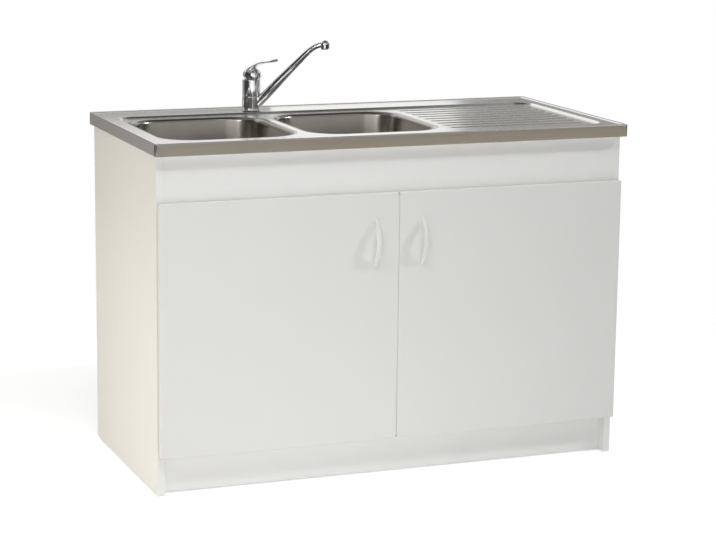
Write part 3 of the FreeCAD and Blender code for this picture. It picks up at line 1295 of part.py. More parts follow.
def door_nodes():
    """Doors with their handles and hinges, left and right."""
    left = {
        "door": [left_door()],
        "handle": [left_handle()],
        "handle_screws": left_handle_screws(),
        "hinge_cups": [left_hinge_cup(z) for z in HINGE_HEIGHTS],
        "hinge_pins": [left_hinge_pin(z) for z in HINGE_HEIGHTS],
        "cup_screws": left_cup_screws(),
        "hinge_arms": [left_hinge_arm(z) for z in HINGE_HEIGHTS],
        "hinge_plates": [left_hinge_plate(z) for z in HINGE_HEIGHTS],
        "hinge_screws": left_hinge_screws(),
    }
    nodes = {}
    for name, solids in left.items():
        nodes["left_" + name] = solids
        nodes["right_" + name] = [mirrored(s) for s in solids]
    return nodes


def sink_nodes():
    """Sink, wastes and pipes."""
    nodes = {"sink_deck": [sink_deck()]}
    for side, x in (("left", LEFT_BOWL_X), ("right", RIGHT_BOWL_X)):
        nodes[side + "_bowl"] = [bowl(x)]
        nodes[side + "_strainer_flange"] = [strainer_flange(x)]
        nodes[side + "_waste_basket"] = [waste_basket(x)]
        nodes[side + "_waste_gasket"] = [waste_gasket(x)]
        nodes[side + "_waste_body"] = [waste_body(x)]
    nodes["left_waste_bend"] = [left_waste_bend()]
    nodes["cross_pipe"] = [cross_pipe()]
    nodes["waste_tee"] = [waste_tee()]
    nodes["trap_body"] = [trap_body()]
    nodes["trap_cup"] = [trap_cup()]
    nodes["trap_outlet_pipe"] = [trap_outlet_pipe()]
    nodes["waste_nuts"] = waste_nuts()
    return nodes


def tap_nodes():
    """Mixer tap."""
    return {
        "tap_gasket": [tap_gasket()],
        "tap_body": [tap_body()],
        "tap_spout": [tap_spout()],
        "tap_aerator": [tap_aerator()],
        "tap_ball": [tap_ball()],
        "tap_lever_pin": [tap_lever_pin()],
        "tap_lever": [tap_lever()],
        "tap_washer": [tap_washer()],
        "tap_nut": [tap_nut()],
    }


def main():
    """Build every piece and write one file per node."""
    os.makedirs("parts", exist_ok=True)
    for nodes in (carcass_nodes(), door_nodes(), sink_nodes(), tap_nodes()):
        for name, solids in nodes.items():
            shape = solids[0] if len(solids) == 1 else Part.makeCompound(solids)
            shape.exportStep("parts/" + name + ".step")


main()
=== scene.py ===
import json
import math

import bpy
from mathutils import Matrix, Vector

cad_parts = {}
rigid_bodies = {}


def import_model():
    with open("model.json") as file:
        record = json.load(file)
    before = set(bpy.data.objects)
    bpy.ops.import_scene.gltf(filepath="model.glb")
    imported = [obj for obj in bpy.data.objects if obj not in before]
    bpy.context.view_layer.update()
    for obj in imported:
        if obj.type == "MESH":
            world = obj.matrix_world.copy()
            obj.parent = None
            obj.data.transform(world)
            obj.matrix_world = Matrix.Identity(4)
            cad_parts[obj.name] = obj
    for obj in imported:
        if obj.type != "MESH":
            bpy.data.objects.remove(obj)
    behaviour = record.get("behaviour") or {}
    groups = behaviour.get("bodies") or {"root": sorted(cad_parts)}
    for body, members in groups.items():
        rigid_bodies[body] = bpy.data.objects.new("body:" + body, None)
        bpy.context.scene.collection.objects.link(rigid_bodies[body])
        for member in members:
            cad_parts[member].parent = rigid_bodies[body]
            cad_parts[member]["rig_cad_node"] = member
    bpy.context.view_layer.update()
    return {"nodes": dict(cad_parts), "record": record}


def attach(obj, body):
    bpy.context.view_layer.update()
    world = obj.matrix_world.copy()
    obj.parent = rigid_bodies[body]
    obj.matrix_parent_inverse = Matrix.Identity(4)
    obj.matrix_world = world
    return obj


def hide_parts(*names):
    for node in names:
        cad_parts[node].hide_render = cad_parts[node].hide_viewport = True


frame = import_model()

NODES = frame["nodes"]
BODY_OF = {node: body for body, nodes in frame["record"]["behaviour"]["bodies"].items() for node in nodes}

# Camera: fitted to the photograph's edges; angles in radians, focal length in pixels
CAMERA_PLACE = (-1.96759, -5.04905, 1.54718)
CAMERA_TURN, CAMERA_TILT, CAMERA_ROLL = 0.372658, 0.198348, 0.0113767
FOCAL_PIXELS = 2204.49
PHOTO_WIDTH = 716.0
SENSOR_WIDTH = 36.0

# Floor and room light: the floor is lit by the lamps up to the near ring and plain white from the far ring on
ROOM_LIGHT = 0.16
FLOOR_SIZE = 60.0
FLOOR_LIFT = 0.5
FLOOR_NEAR, FLOOR_FAR = 0.9, 1.9

# Copies of solids: reach within which points are welded, and the edge angles in degrees that still look round
WELD = 0.00001
SOFT_ANGLE = 32
NEW_PIECE_ANGLE = 40

# Tap: where it swivels, and where the spout and the lever point at rest
JOINTS = {joint["name"]: joint for joint in frame["record"]["behaviour"]["joints"]}
SWIVEL = Vector(JOINTS["spout_swivel"]["pos_m"])
UPWARD = Vector((0, 0, 1))
SPOUT_HEADING, LEVER_HEADING = math.radians(35), math.radians(60)
SPOUT_WAY = Vector((math.cos(SPOUT_HEADING), -math.sin(SPOUT_HEADING), 0))
LEVER_WAY = Vector((math.cos(LEVER_HEADING), -math.sin(LEVER_HEADING), 0))

# Spout: the neck's line as reach, height above the swivel and radius; where it is cut off inside the collar and
# over the base; the nose's middle as reach and height; and how far the nose and the collar reach
NECK = (
    (0.006, 0.000, 0.0115), (0.0355, 0.0315, 0.0118), (0.0654, 0.0626, 0.0110), (0.0846, 0.0834, 0.0102),
    (0.1044, 0.1038, 0.0095), (0.1247, 0.1238, 0.0085), (0.1444, 0.1438, 0.0076), (0.156, 0.1538, 0.0070),
    (0.1708, 0.1625, 0.0068), (0.190, 0.1670, 0.0070),
)
NECK_CUT = 0.016
NECK_FLOOR = 0.0006
NOSE = (0.192, 0.1669)
NOSE_EDGE = 0.01125
COLLAR_EDGE = 0.0232

# Lever: the reaches from which its blade thickens, each time by the same growth
BLADE_STEPS = (0.024, 0.030, 0.036)
BLADE_GROWTH = 0.00025

# Closing lip: its reach past the door's edge, thickness, depth behind the door's front, distance from the door's
# ends, thickness left at the tip and rounding
LIP_REACH = 0.0027
LIP_THICKNESS = 0.0022
LIP_DEPTH = 0.002
LIP_END = 0.006
LIP_TIP = 0.45
LIP_ROUND = 0.0003

# Lamps: name, place, aim, size, power and colour; which of them metal mirrors, and which light nothing else
LAMPS = (
    ("front_softbox", (-0.72, -2.0, 0.6), (-0.3, 0, 0.3), (1.1, 1.0), 6.6, (1, 1, 1)),
    ("right_spot", (4.4, -2.8, 4.2), (0, 0, 0.5), (0.42, 0.42), 84, (1, 1, 1)),
    ("top_softbox", (-1.9, -2.8, 4.2), (-0.5, -0.3, 0.8), (2.6, 0.3), 20, (1, 1, 1)),
    ("side_softbox", (-2.0, -0.25, 0.28), (-0.6, -0.1, 0.2), (0.24, 0.7), 9.7, (1, 0.91, 0.74)),
    ("low_softbox", (-0.25, -0.85, 0.05), (-0.2, -0.29, 0.06), (1.4, 0.08), 0.60, (1, 1, 1)),
    ("floor_softbox", (-1.0, -1.5, 3.0), (-1.0, -1.5, 0), (3.0, 1.6), 34, (1, 1, 1)),
    ("back_softbox", (0.6, 2.9, 1.5), (0.0, 0.3, 0.4), (2.2, 1.2), 24, (1, 1, 1)),
    ("right_softbox", (2.6, 0.7, 0.8), (0.6, 0.1, 0.4), (0.9, 1.2), 8, (1, 1, 1)),
    ("column_softbox", (-0.20, 0.09, 0.890), (-0.1975, 0.236, 0.895), (0.15, 0.034), 0.013, (1, 1, 1)),
    ("glint_softbox", (-1.9, -1.3, 1.7), (-0.1, 0.1, 0.8), (0.5, 0.9), 6, (1, 1, 1)),
)
MIRRORED_LAMPS = ("right_spot", "glint_softbox", "column_softbox")
GLINT_LAMPS = ("glint_softbox", "column_softbox")

# Painted reflections: glowing cards, dark or tinted, that only reflections in the metal see; name, place, tilt,
# turn about the upright, size and colour
REFLECTION_CARDS = (
    ("front_card", (2.425, -3.4, 0.22), 90, 0, (5.15, 0.56), (0.175, 0.125, 0.045)),
    ("front_high_card", (2.425, -3.4, 0.75), 90, 0, (5.15, 0.5), (0.03, 0.03, 0.03)),
    ("front_mid_card", (2.425, -3.4, 1.45), 90, 0, (5.15, 0.9), (0.66, 0.66, 0.66)),
    ("front_top_card", (1.8, -3.4, 2.7), 90, 0, (4.0, 1.6), (0.25, 0.25, 0.25)),
    ("corner_card", (-0.659, -0.437, 0.81), 90, -25, (0.19, 0.12), (0.25, 0.24, 0.22)),
    ("left_card", (-2.6, 0.0, 1.4), 90, 90, (4.0, 2.8), (0.05, 0.05, 0.05)),
    ("right_card", (2.8, -1.0, 1.2), 90, -90, (3.6, 2.4), (0.06, 0.06, 0.06)),
    ("back_left_card", (-1.9, 3.0, 1.3), 90, 0, (3.0, 1.5), (0.29, 0.28, 0.265)),
    ("rear_card", (-0.33, 0.6, 0.87), 90, 0, (0.62, 0.14), (0.30, 0.29, 0.278)),
    ("back_right_card", (3.0, 3.0, 1.3), 90, 0, (2.8, 1.5), (0.25, 0.25, 0.24)),
    ("back_low_card", (1.9, 3.1, 0.45), 90, 0, (6.2, 0.8), (0.05, 0.05, 0.05)),
    ("back_low_left_card", (-2.1, 3.1, 0.45), 90, 0, (1.8, 0.8), (0.33, 0.32, 0.30)),
    ("overhead_card", (0.2, -0.3, 3.3), 0, 0, (2.6, 2.0), (0.06, 0.06, 0.06)),
    ("ceiling_card", (0.0, 0.0, 3.5), 0, 0, (8.0, 6.0), (0.30, 0.30, 0.295)),
)


# Camera, floor and light

def place_camera():
    """Camera at the photograph's viewing angle, with its slight roll."""
    level_run = math.cos(CAMERA_TILT)
    ahead = Vector((math.sin(CAMERA_TURN) * level_run, math.cos(CAMERA_TURN) * level_run, -math.sin(CAMERA_TILT)))
    level = Vector((math.cos(CAMERA_TURN), -math.sin(CAMERA_TURN), 0))
    right = level * math.cos(CAMERA_ROLL) + level.cross(ahead) * math.sin(CAMERA_ROLL)
    top = right.cross(ahead)
    bpy.ops.object.camera_add(location=CAMERA_PLACE)
    camera = bpy.context.object
    camera.name = "photo_camera"
    turned = Matrix((right, top, -ahead)).transposed().to_4x4()
    camera.matrix_world = Matrix.Translation(camera.location) @ turned
    camera.data.sensor_width = SENSOR_WIDTH
    camera.data.lens = SENSOR_WIDTH * FOCAL_PIXELS / PHOTO_WIDTH
    bpy.context.scene.camera = camera


def sees_white(nodes, links):
    """Factor that is 1 for rays that look straight at a surface or reflect it, so that it shows as white."""
    path = nodes.new("ShaderNodeLightPath")
    seen = nodes.new("ShaderNodeMath")
    seen.operation = "MAXIMUM"
    links.new(path.outputs["Is Camera Ray"], seen.inputs[0])
    links.new(path.outputs["Is Glossy Ray"], seen.inputs[1])
    clear = nodes.new("ShaderNodeMath")
    clear.operation = "MAXIMUM"
    links.new(seen.outputs[0], clear.inputs[0])
    links.new(path.outputs["Is Transmission Ray"], clear.inputs[1])
    return clear.outputs[0]


def lay_floor():
    """Wide floor: plain white far off, and round the object lit by the lamps, so that it keeps the shadow."""
    bpy.ops.object.select_all(action="DESELECT")
    bpy.ops.mesh.primitive_plane_add(size=FLOOR_SIZE, location=(0, 0, 0))
    floor = bpy.context.object
    floor.name = "studio_floor"
    paper = bpy.data.materials.new("studio_paper")
    paper.use_nodes = True
    nodes, links = paper.node_tree.nodes, paper.node_tree.links
    matt = nodes["Principled BSDF"]
    matt.inputs["Base Color"].default_value = (0.92, 0.92, 0.92, 1)
    matt.inputs["Roughness"].default_value = 0.9
    matt.inputs["Specular IOR Level"].default_value = 0.0
    lift = nodes.new("ShaderNodeMath")
    lift.operation = "MULTIPLY"
    lift.inputs[1].default_value = FLOOR_LIFT
    white_seen = sees_white(nodes, links)
    links.new(white_seen, lift.inputs[0])
    matt.inputs["Emission Color"].default_value = (1, 1, 1, 1)
    links.new(lift.outputs[0], matt.inputs["Emission Strength"])
    place = nodes.new("ShaderNodeTexCoord")
    reach = nodes.new("ShaderNodeVectorMath")
    reach.operation = "LENGTH"
    links.new(place.outputs["Object"], reach.inputs[0])
    far = nodes.new("ShaderNodeMapRange")
    far.interpolation_type = "SMOOTHSTEP"
    far.inputs["From Min"].default_value = FLOOR_NEAR
    far.inputs["From Max"].default_value = FLOOR_FAR
    links.new(reach.outputs["Value"], far.inputs["Value"])
    share = nodes.new("ShaderNodeMath")
    share.operation = "MULTIPLY"
    links.new(far.outputs["Result"], share.inputs[0])
    links.new(white_seen, share.inputs[1])
    white = nodes.new("ShaderNodeEmission")
    white.inputs["Strength"].default_value = 1.0
    mix = nodes.new("ShaderNodeMixShader")
    links.new(share.outputs[0], mix.inputs[0])
    links.new(matt.outputs[0], mix.inputs[1])
    links.new(white.outputs[0], mix.inputs[2])
    links.new(mix.outputs[0], nodes["Material Output"].inputs["Surface"])
    floor.data.materials.append(paper)


def light_world():
    """Even white room light; seen directly it is plain white."""
    world = bpy.data.worlds.new("studio_world")
    bpy.context.scene.world = world
    world.use_nodes = True
    nodes, links = world.node_tree.nodes, world.node_tree.links
    sky = nodes["Background"]
    sky.inputs["Color"].default_value = (1.0, 0.99, 0.97, 1)
    sky.inputs["Strength"].default_value = ROOM_LIGHT
    white = nodes.new("ShaderNodeBackground")
    white.inputs["Color"].default_value = (1, 1, 1, 1)
    white.inputs["Strength"].default_value = 1.0
    mix = nodes.new("ShaderNodeMixShader")
    links.new(sees_white(nodes, links), mix.inputs[0])
    links.new(sky.outputs[0], mix.inputs[1])
    links.new(white.outputs[0], mix.inputs[2])
    links.new(mix.outputs[0], nodes["World Output"].inputs["Surface"])


def add_softbox(name, place, aim, size, power, colour):
    """Soft area lamp that looks at a point."""
    bpy.ops.object.light_add(type="AREA", location=place)
    lamp = bpy.context.object
    lamp.name = name
    lamp.rotation_euler = (Vector(aim) - Vector(place)).to_track_quat("-Z", "Y").to_euler()
    lamp.data.shape = "RECTANGLE"
    lamp.data.size, lamp.data.size_y = size
    lamp.data.energy = power
    lamp.data.color = colour
    lamp.visible_camera = False
    lamp.visible_glossy = name in MIRRORED_LAMPS
    lamp.visible_diffuse = name not in GLINT_LAMPS


def light_studio():
    """Lamps of the studio.

    The front, top and floor softboxes light the front, and the top one draws the shadow under the sink's edge. The
    right spot gives the handles' shadows, the side softbox the warm left side, and the low one the plinth. The back
    and right softboxes light the sides that the photograph doesn't show, and the last two only glint in the metal.
    """
    for lamp in LAMPS:
        add_softbox(*lamp)


def hang_reflection_cards():
    """Glowing cards round the object that only glossy rays see: painted reflections that darken and tint the bright
    metal.
    """
    for name, place, tilt, turn, size, colour in REFLECTION_CARDS:
        bpy.ops.object.select_all(action="DESELECT")
        facing = (math.radians(tilt), 0, math.radians(turn))
        bpy.ops.mesh.primitive_plane_add(size=1.0, location=place, rotation=facing)
        card = bpy.context.object
        card.name = name
        card.scale = (*size, 1)
        board = bpy.data.materials.new(name + "_board")
        board.use_nodes = True
        nodes, links = board.node_tree.nodes, board.node_tree.links
        nodes.remove(nodes["Principled BSDF"])
        # The card's glow is a painted reflection, seen only in the metal
        glow = nodes.new("ShaderNodeEmission")
        glow.inputs["Color"].default_value = (*colour, 1)
        links.new(glow.outputs[0], nodes["Material Output"].inputs["Surface"])
        card.data.materials.append(board)
        card.visible_camera = False
        card.visible_diffuse = False
        card.visible_shadow = False


# Shared effects

def new_group(name, inputs, outputs):
    """Empty shader group with named sockets."""
    group = bpy.data.node_groups.new(name, "ShaderNodeTree")
    for label, kind, value in inputs:
        socket = group.interface.new_socket(label, in_out="INPUT", socket_type=kind)
        socket.default_value = value
    for label, kind in outputs:
        group.interface.new_socket(label, in_out="OUTPUT", socket_type=kind)
    return group, group.nodes.new("NodeGroupInput"), group.nodes.new("NodeGroupOutput")


def make_mottle():
    """Slow and fine unevenness of a surface, from 0 to 1."""
    group, given, out = new_group("mottle", [
        ("Vector", "NodeSocketVector", (0, 0, 0)), ("Broad Scale", "NodeSocketFloat", 3.0),
        ("Fine Scale", "NodeSocketFloat", 220.0), ("Fine Share", "NodeSocketFloat", 0.4),
    ], [("Broad", "NodeSocketFloat"), ("Fine", "NodeSocketFloat"), ("Both", "NodeSocketFloat")])
    broad = group.nodes.new("ShaderNodeTexNoise")
    broad.inputs["Detail"].default_value = 3.0
    fine = group.nodes.new("ShaderNodeTexNoise")
    fine.inputs["Detail"].default_value = 2.0
    mix = group.nodes.new("ShaderNodeMix")
    link = group.links.new
    link(given.outputs["Vector"], broad.inputs["Vector"])
    link(given.outputs["Broad Scale"], broad.inputs["Scale"])
    link(given.outputs["Vector"], fine.inputs["Vector"])
    link(given.outputs["Fine Scale"], fine.inputs["Scale"])
    link(given.outputs["Fine Share"], mix.inputs["Factor"])
    link(broad.outputs["Fac"], mix.inputs["A"])
    link(fine.outputs["Fac"], mix.inputs["B"])
    link(broad.outputs["Fac"], out.inputs["Broad"])
    link(fine.outputs["Fac"], out.inputs["Fine"])
    link(mix.outputs["Result"], out.inputs["Both"])
    return group


def make_brushing():
    """Fine parallel lines drawn out along one direction, from 0 to 1."""
    group, given, out = new_group("brushing", [
        ("Vector", "NodeSocketVector", (0, 0, 0)), ("Stretch", "NodeSocketVector", (4, 900, 900)),
    ], [("Lines", "NodeSocketFloat"), ("Bands", "NodeSocketFloat")])
    scaled = group.nodes.new("ShaderNodeVectorMath")
    scaled.operation = "MULTIPLY"
    lines = group.nodes.new("ShaderNodeTexNoise")
    lines.inputs["Scale"].default_value = 1.0
    lines.inputs["Detail"].default_value = 4.0
    bands = group.nodes.new("ShaderNodeTexNoise")
    bands.inputs["Scale"].default_value = 0.16
    bands.inputs["Detail"].default_value = 3.0
    link = group.links.new
    link(given.outputs["Vector"], scaled.inputs[0])
    link(given.outputs["Stretch"], scaled.inputs[1])
    link(scaled.outputs["Vector"], lines.inputs["Vector"])
    link(scaled.outputs["Vector"], bands.inputs["Vector"])
    link(lines.outputs["Fac"], out.inputs["Lines"])
    link(bands.outputs["Fac"], out.inputs["Bands"])
    return group


def make_marks():
    """Soft spots of handling and water, from 0 to 1, mostly 0."""
    group, given, out = new_group("marks", [
        ("Vector", "NodeSocketVector", (0, 0, 0)), ("Scale", "NodeSocketFloat", 14.0),
        ("Start", "NodeSocketFloat", 0.56), ("End", "NodeSocketFloat", 0.74),
    ], [("Mask", "NodeSocketFloat")])
    spots = group.nodes.new("ShaderNodeTexNoise")
    spots.inputs["Detail"].default_value = 5.0
    spots.inputs["Roughness"].default_value = 0.62
    edge = group.nodes.new("ShaderNodeMapRange")
    edge.interpolation_type = "SMOOTHSTEP"
    link = group.links.new
    link(given.outputs["Vector"], spots.inputs["Vector"])
    link(given.outputs["Scale"], spots.inputs["Scale"])
    link(spots.outputs["Fac"], edge.inputs["Value"])
    link(given.outputs["Start"], edge.inputs["From Min"])
    link(given.outputs["End"], edge.inputs["From Max"])
    link(edge.outputs["Result"], out.inputs["Mask"])
    return group


MOTTLE = make_mottle()
BRUSHING = make_brushing()
MARKS = make_marks()


# Finishes

class Finish:
    """A material under construction, with the few steps that every finish repeats."""

    def __init__(self, name):
        self.material = bpy.data.materials.new(name)
        self.material.use_nodes = True
        self.nodes = self.material.node_tree.nodes
        self.link = self.material.node_tree.links.new
        self.surface = self.nodes["Principled BSDF"]
        self.place = self.nodes.new("ShaderNodeTexCoord").outputs["Object"]

    def effect(self, group, **values):
        node = self.nodes.new("ShaderNodeGroup")
        node.node_tree = group
        self.link(self.place, node.inputs["Vector"])
        for label, value in values.items():
            node.inputs[label.replace("_", " ")].default_value = value
        return node.outputs

    def blend(self, factor, first, second, into):
        mix = self.nodes.new("ShaderNodeMix")
        mix.data_type = "RGBA"
        self.link(factor, mix.inputs["Factor"])
        for value, socket in ((first, mix.inputs["A"]), (second, mix.inputs["B"])):
            if isinstance(value, tuple):
                socket.default_value = (*value, 1)
            else:
                self.link(value, socket)
        if into:
            self.link(mix.outputs["Result"], self.surface.inputs[into])
        return mix.outputs["Result"]

    def spread(self, factor, low, high, into):
        span = self.nodes.new("ShaderNodeMapRange")
        span.inputs["To Min"].default_value = low
        span.inputs["To Max"].default_value = high
        self.link(factor, span.inputs["Value"])
        if into:
            self.link(span.outputs["Result"], self.surface.inputs[into])
        return span.outputs["Result"]

    def relief(self, height, depth, strength=1.0):
        bump = self.nodes.new("ShaderNodeBump")
        bump.inputs["Distance"].default_value = depth
        bump.inputs["Strength"].default_value = strength
        self.link(height, bump.inputs["Height"])
        self.link(bump.outputs["Normal"], self.surface.inputs["Normal"])


def melamine(name, pale, dull):
    """White faced board: very slight cloudiness and a pearly fine grain."""
    finish = Finish(name)
    tone = finish.effect(MOTTLE, Broad_Scale=2.2, Fine_Scale=420.0, Fine_Share=0.3)
    finish.blend(tone["Both"], dull, pale, "Base Color")
    finish.spread(tone["Both"], 0.40, 0.52, "Roughness")
    finish.relief(tone["Fine"], 0.00006, 0.5)
    finish.surface.inputs["Specular IOR Level"].default_value = 0.4
    return finish.material


def brushed_steel(name, stretch, bright, dark, smooth, rough):
    """Stainless sheet with drawn lines and a little bloom from use."""
    finish = Finish(name)
    grain = finish.effect(BRUSHING, Stretch=stretch)
    bloom = finish.effect(MARKS, Scale=9.0, Start=0.5, End=0.8)
    tone = finish.blend(grain["Bands"], dark, bright, None)
    finish.blend(bloom["Mask"], tone, tuple(0.5 * (a + b) for a, b in zip(dark, bright)), "Base Color")
    finish.spread(grain["Lines"], smooth, rough, "Roughness")
    finish.surface.inputs["Metallic"].default_value = 1.0
    finish.relief(grain["Lines"], 0.00004, 0.35)
    return finish.material


def polished_chrome():
    """Mirror plating with faint water marks."""
    finish = Finish("polished_chrome")
    marks = finish.effect(MARKS, Scale=40.0, Start=0.52, End=0.75)
    finish.blend(marks["Mask"], (0.82, 0.82, 0.84), (0.74, 0.74, 0.75), "Base Color")
    finish.spread(marks["Mask"], 0.025, 0.07, "Roughness")
    finish.surface.inputs["Metallic"].default_value = 1.0
    return finish.material


def moulded(name, pale, dull, smooth, rough, grain, depth):
    """Plastic or rubber from a mould, with its grain."""
    finish = Finish(name)
    tone = finish.effect(MOTTLE, Broad_Scale=9.0, Fine_Scale=grain, Fine_Share=0.45)
    finish.blend(tone["Both"], dull, pale, "Base Color")
    finish.spread(tone["Both"], smooth, rough, "Roughness")
    finish.relief(tone["Fine"], depth, 0.5)
    return finish.material


def plated(name, bright, dark, smooth, rough):
    """Plated or turned metal with a faint spangle."""
    finish = Finish(name)
    tone = finish.effect(MOTTLE, Broad_Scale=60.0, Fine_Scale=700.0, Fine_Share=0.5)
    finish.blend(tone["Both"], dark, bright, "Base Color")
    finish.spread(tone["Both"], smooth, rough, "Roughness")
    finish.surface.inputs["Metallic"].default_value = 1.0
    finish.relief(tone["Fine"], 0.00005, 0.4)
    return finish.material


def beech_wood():
    """Bare beech pegs with their grain along X."""
    finish = Finish("beech_wood")
    grain = finish.effect(BRUSHING, Stretch=(30, 900, 900))
    finish.blend(grain["Lines"], (0.50, 0.33, 0.19), (0.68, 0.49, 0.30), "Base Color")
    finish.spread(grain["Lines"], 0.5, 0.7, "Roughness")
    finish.relief(grain["Lines"], 0.00008, 0.5)
    return finish.material


FINISHES = {
    "white_board": melamine("white_melamine", (0.80, 0.80, 0.785), (0.755, 0.755, 0.74)),
    # Painted light: the next two are the same white board made lighter, on the fascia and the side panels, and
    # lighter still on the plinth, which lies in shade under the doors
    "board_painted_light": melamine("white_melamine_painted_light", (0.88, 0.88, 0.865), (0.84, 0.84, 0.825)),
    "plinth_board": melamine("plinth_melamine_painted_light", (0.93, 0.93, 0.915), (0.90, 0.90, 0.885)),
    "stainless_steel": brushed_steel("brushed_stainless", (5, 900, 900), (0.90, 0.885, 0.86),
                                     (0.85, 0.835, 0.81), 0.19, 0.29),
    # Painted shade: the bowls get the deck's stainless steel made much darker, for the shade inside them
    "bowl_steel_painted_shade": brushed_steel("satin_bowl_steel", (300, 300, 20), (0.45, 0.43, 0.39),
                                (0.40, 0.38, 0.345), 0.20, 0.27),
    "chrome": polished_chrome(),
    "white_plastic": moulded("white_handle_plastic", (0.82, 0.82, 0.80), (0.78, 0.78, 0.76), 0.26, 0.36,
                             500.0, 0.00004),
    "pipe_plastic": moulded("white_pipe_plastic", (0.80, 0.80, 0.78), (0.72, 0.72, 0.69), 0.38, 0.5,
                            380.0, 0.00008),
    "grey_plastic": moulded("grey_moulded_plastic", (0.40, 0.40, 0.40), (0.32, 0.32, 0.33), 0.45, 0.6,
                            450.0, 0.0001),
    "clear_buffer": moulded("soft_buffer", (0.72, 0.72, 0.70), (0.62, 0.62, 0.60), 0.3, 0.45, 600.0, 0.00006),
    "black_rubber": moulded("black_rubber", (0.045, 0.045, 0.045), (0.02, 0.02, 0.02), 0.6, 0.8, 500.0, 0.0001),
    "beech": beech_wood(),
    "brass": plated("turned_brass", (0.72, 0.56, 0.28), (0.58, 0.43, 0.19), 0.25, 0.4),
    "zinc_plate": plated("zinc_plate", (0.66, 0.67, 0.68), (0.52, 0.53, 0.55), 0.24, 0.38),
}
SLOT_OF = {entry["node"]: entry["material_slot"] for entry in frame["record"]["subparts"]}
# Painted light and shade: the fascia and the side panels take a lightened copy of the white board, the plinth a
# lighter one, and the bowls the darkened steel
FINISH_OF = dict(SLOT_OF, left_bowl="bowl_steel_painted_shade", right_bowl="bowl_steel_painted_shade", plinth_board="plinth_board",
                 fascia_board="board_painted_light", left_side_panel="board_painted_light", right_side_panel="board_painted_light")


def dress_nodes():
    """Every carried-over solid gets the finish of its slot."""
    for name, node in NODES.items():
        node.data.materials.clear()
        node.data.materials.append(FINISHES[FINISH_OF[name]])


# Pieces that stand for solids, and new ones

def bare_copy(node):
    """Welded copy of a solid, to be shaped further."""
    bpy.ops.object.select_all(action="DESELECT")
    NODES[node].select_set(True)
    bpy.context.view_layer.objects.active = NODES[node]
    bpy.ops.object.duplicate()
    skin = bpy.context.object
    skin.name = node + "_skin"
    if "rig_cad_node" in skin:
        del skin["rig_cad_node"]
    bpy.ops.object.mode_set(mode="EDIT")
    bpy.ops.mesh.select_all(action="SELECT")
    bpy.ops.mesh.remove_doubles(threshold=WELD)
    bpy.ops.object.mode_set(mode="OBJECT")
    return skin


def stand_in(skin, node):
    """Soft shading for a copy that then stands for its solid."""
    bpy.ops.object.shade_smooth_by_angle(angle=math.radians(SOFT_ANGLE))
    even = skin.modifiers.new("even_normals", "WEIGHTED_NORMAL")
    even.keep_sharp = True
    bpy.ops.object.modifier_apply(modifier=even.name)
    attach(skin, BODY_OF[node])
    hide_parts(node)


def pick(piece, wanted):
    """Select the points of a piece that pass a test, and the edges and faces between them."""
    points = piece.data.vertices
    for point in points:
        point.select = wanted(point.co)
    for part in (*piece.data.edges, *piece.data.polygons):
        part.select = all(points[i].select for i in part.vertices)


def spout_shell():
    """Collar and nose of the spout without the neck between them, closed where the neck was."""
    shell = bare_copy("tap_spout")
    nose = SWIVEL + SPOUT_WAY * NOSE[0] + UPWARD * NOSE[1]

    def on_neck(place):
        outside = (place - SWIVEL).to_2d().length > COLLAR_EDGE
        in_nose = (place - nose).length < NOSE_EDGE
        under_nose = (place - nose).to_2d().length < NOSE_EDGE and place.z < nose.z
        return outside and not in_nose and not under_nose

    pick(shell, on_neck)
    bpy.ops.object.mode_set(mode="EDIT")
    bpy.ops.mesh.delete(type="VERT")
    bpy.ops.mesh.select_all(action="SELECT")
    bpy.ops.mesh.fill_holes(sides=0)
    bpy.ops.object.mode_set(mode="OBJECT")
    stand_in(shell, "tap_spout")


def spout_neck():
    """Tapering neck of the spout, drawn along a smooth line from the collar to the nose."""
    bpy.ops.object.select_all(action="DESELECT")
    bpy.ops.curve.primitive_bezier_curve_add(location=(0, 0, 0))
    neck = bpy.context.object
    neck.name = "spout_neck"
    line = neck.data.splines[0]
    line.bezier_points.add(len(NECK) - len(line.bezier_points))
    for point, (reach, height, radius) in zip(line.bezier_points, NECK):
        point.co = SWIVEL + SPOUT_WAY * reach + UPWARD * height
        point.radius = radius
        point.handle_left_type = point.handle_right_type = "AUTO"
    neck.data.dimensions = "3D"
    neck.data.resolution_u = 10
    neck.data.bevel_depth = 1.0
    neck.data.bevel_resolution = 9
    neck.data.use_fill_caps = True
    bpy.ops.object.convert(target="MESH")
    bpy.ops.object.mode_set(mode="EDIT")
    bpy.ops.mesh.select_all(action="SELECT")
    bpy.ops.mesh.remove_doubles(threshold=WELD)
    for way, distance in ((SPOUT_WAY, NECK_CUT), (UPWARD, NECK_FLOOR)):
        bpy.ops.mesh.select_all(action="SELECT")
        bpy.ops.mesh.bisect(plane_co=SWIVEL + way * distance, plane_no=way, use_fill=True, clear_inner=True)
    bpy.ops.mesh.select_all(action="SELECT")
    bpy.ops.mesh.normals_make_consistent(inside=False)
    bpy.ops.object.mode_set(mode="OBJECT")
    bpy.ops.object.shade_smooth_by_angle(angle=math.radians(NEW_PIECE_ANGLE))
    neck.data.materials.append(FINISHES["chrome"])
    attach(neck, BODY_OF["tap_spout"])


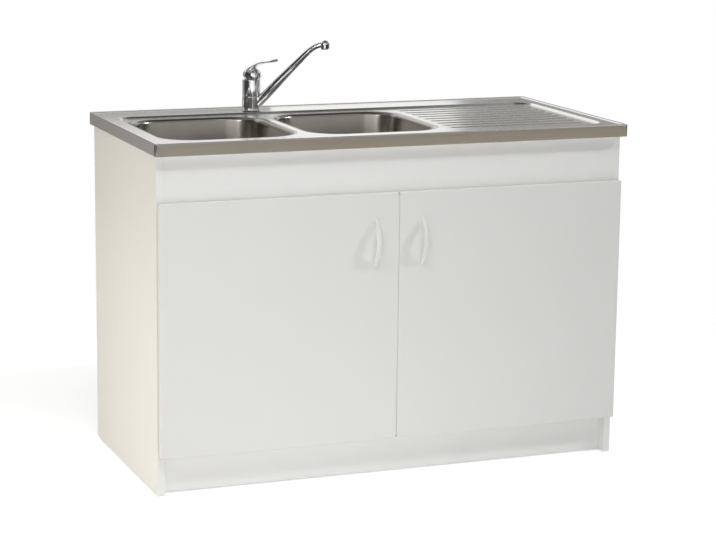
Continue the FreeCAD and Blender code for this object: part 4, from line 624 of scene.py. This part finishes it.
def full_lever():
    """Lever with a slightly fuller blade, thickening step by step from the hood."""
    lever = bare_copy("tap_lever")
    for start in BLADE_STEPS:
        pick(lever, lambda place: (place - SWIVEL).dot(LEVER_WAY) > start)
        bpy.ops.object.mode_set(mode="EDIT")
        bpy.ops.transform.shrink_fatten(value=BLADE_GROWTH)
        bpy.ops.object.mode_set(mode="OBJECT")
    stand_in(lever, "tap_lever")


def closing_lip():
    """Soft tongue on the left door's free edge that fills the gap between the doors."""
    corners = [Vector(corner) for corner in NODES["left_door"].bound_box]
    edge = max(corner.x for corner in corners)
    front = min(corner.y for corner in corners)
    low = min(corner.z for corner in corners) + LIP_END
    high = max(corner.z for corner in corners) - LIP_END
    bpy.ops.object.select_all(action="DESELECT")
    middle = (edge + LIP_REACH / 2, front + LIP_DEPTH, (low + high) / 2)
    bpy.ops.mesh.primitive_cube_add(size=1.0, location=middle)
    lip = bpy.context.object
    lip.name = "closing_lip"
    lip.scale = (LIP_REACH, LIP_THICKNESS, high - low)
    bpy.ops.object.transform_apply(location=True, rotation=True, scale=True)
    pick(lip, lambda place: place.x > middle[0])
    bpy.ops.object.mode_set(mode="EDIT")
    bpy.ops.transform.resize(value=(1, LIP_TIP, 1))
    bpy.ops.mesh.select_all(action="SELECT")
    bpy.ops.mesh.bevel(offset=LIP_ROUND, segments=2, affect="EDGES")
    bpy.ops.object.mode_set(mode="OBJECT")
    bpy.ops.object.shade_smooth_by_angle(angle=math.radians(NEW_PIECE_ANGLE))
    lip.data.materials.append(FINISHES["white_plastic"])
    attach(lip, BODY_OF["left_door"])


# Rounded solids that are shown as smoothly shaded copies
SOFT_NODES = ("sink_deck", "left_bowl", "right_bowl", "tap_body", "tap_ball", "left_handle", "right_handle",
              "left_strainer_flange", "right_strainer_flange", "left_waste_basket", "right_waste_basket",
              "left_waste_body", "right_waste_body", "left_waste_bend", "cross_pipe", "waste_tee", "trap_body",
              "trap_cup", "trap_outlet_pipe", "waste_nuts")

place_camera()
lay_floor()
light_world()
light_studio()
hang_reflection_cards()
dress_nodes()
for soft_node in SOFT_NODES:
    stand_in(bare_copy(soft_node), soft_node)
spout_shell()
spout_neck()
full_lever()
closing_lip()

bpy.context.scene.view_settings.view_transform = "Standard"
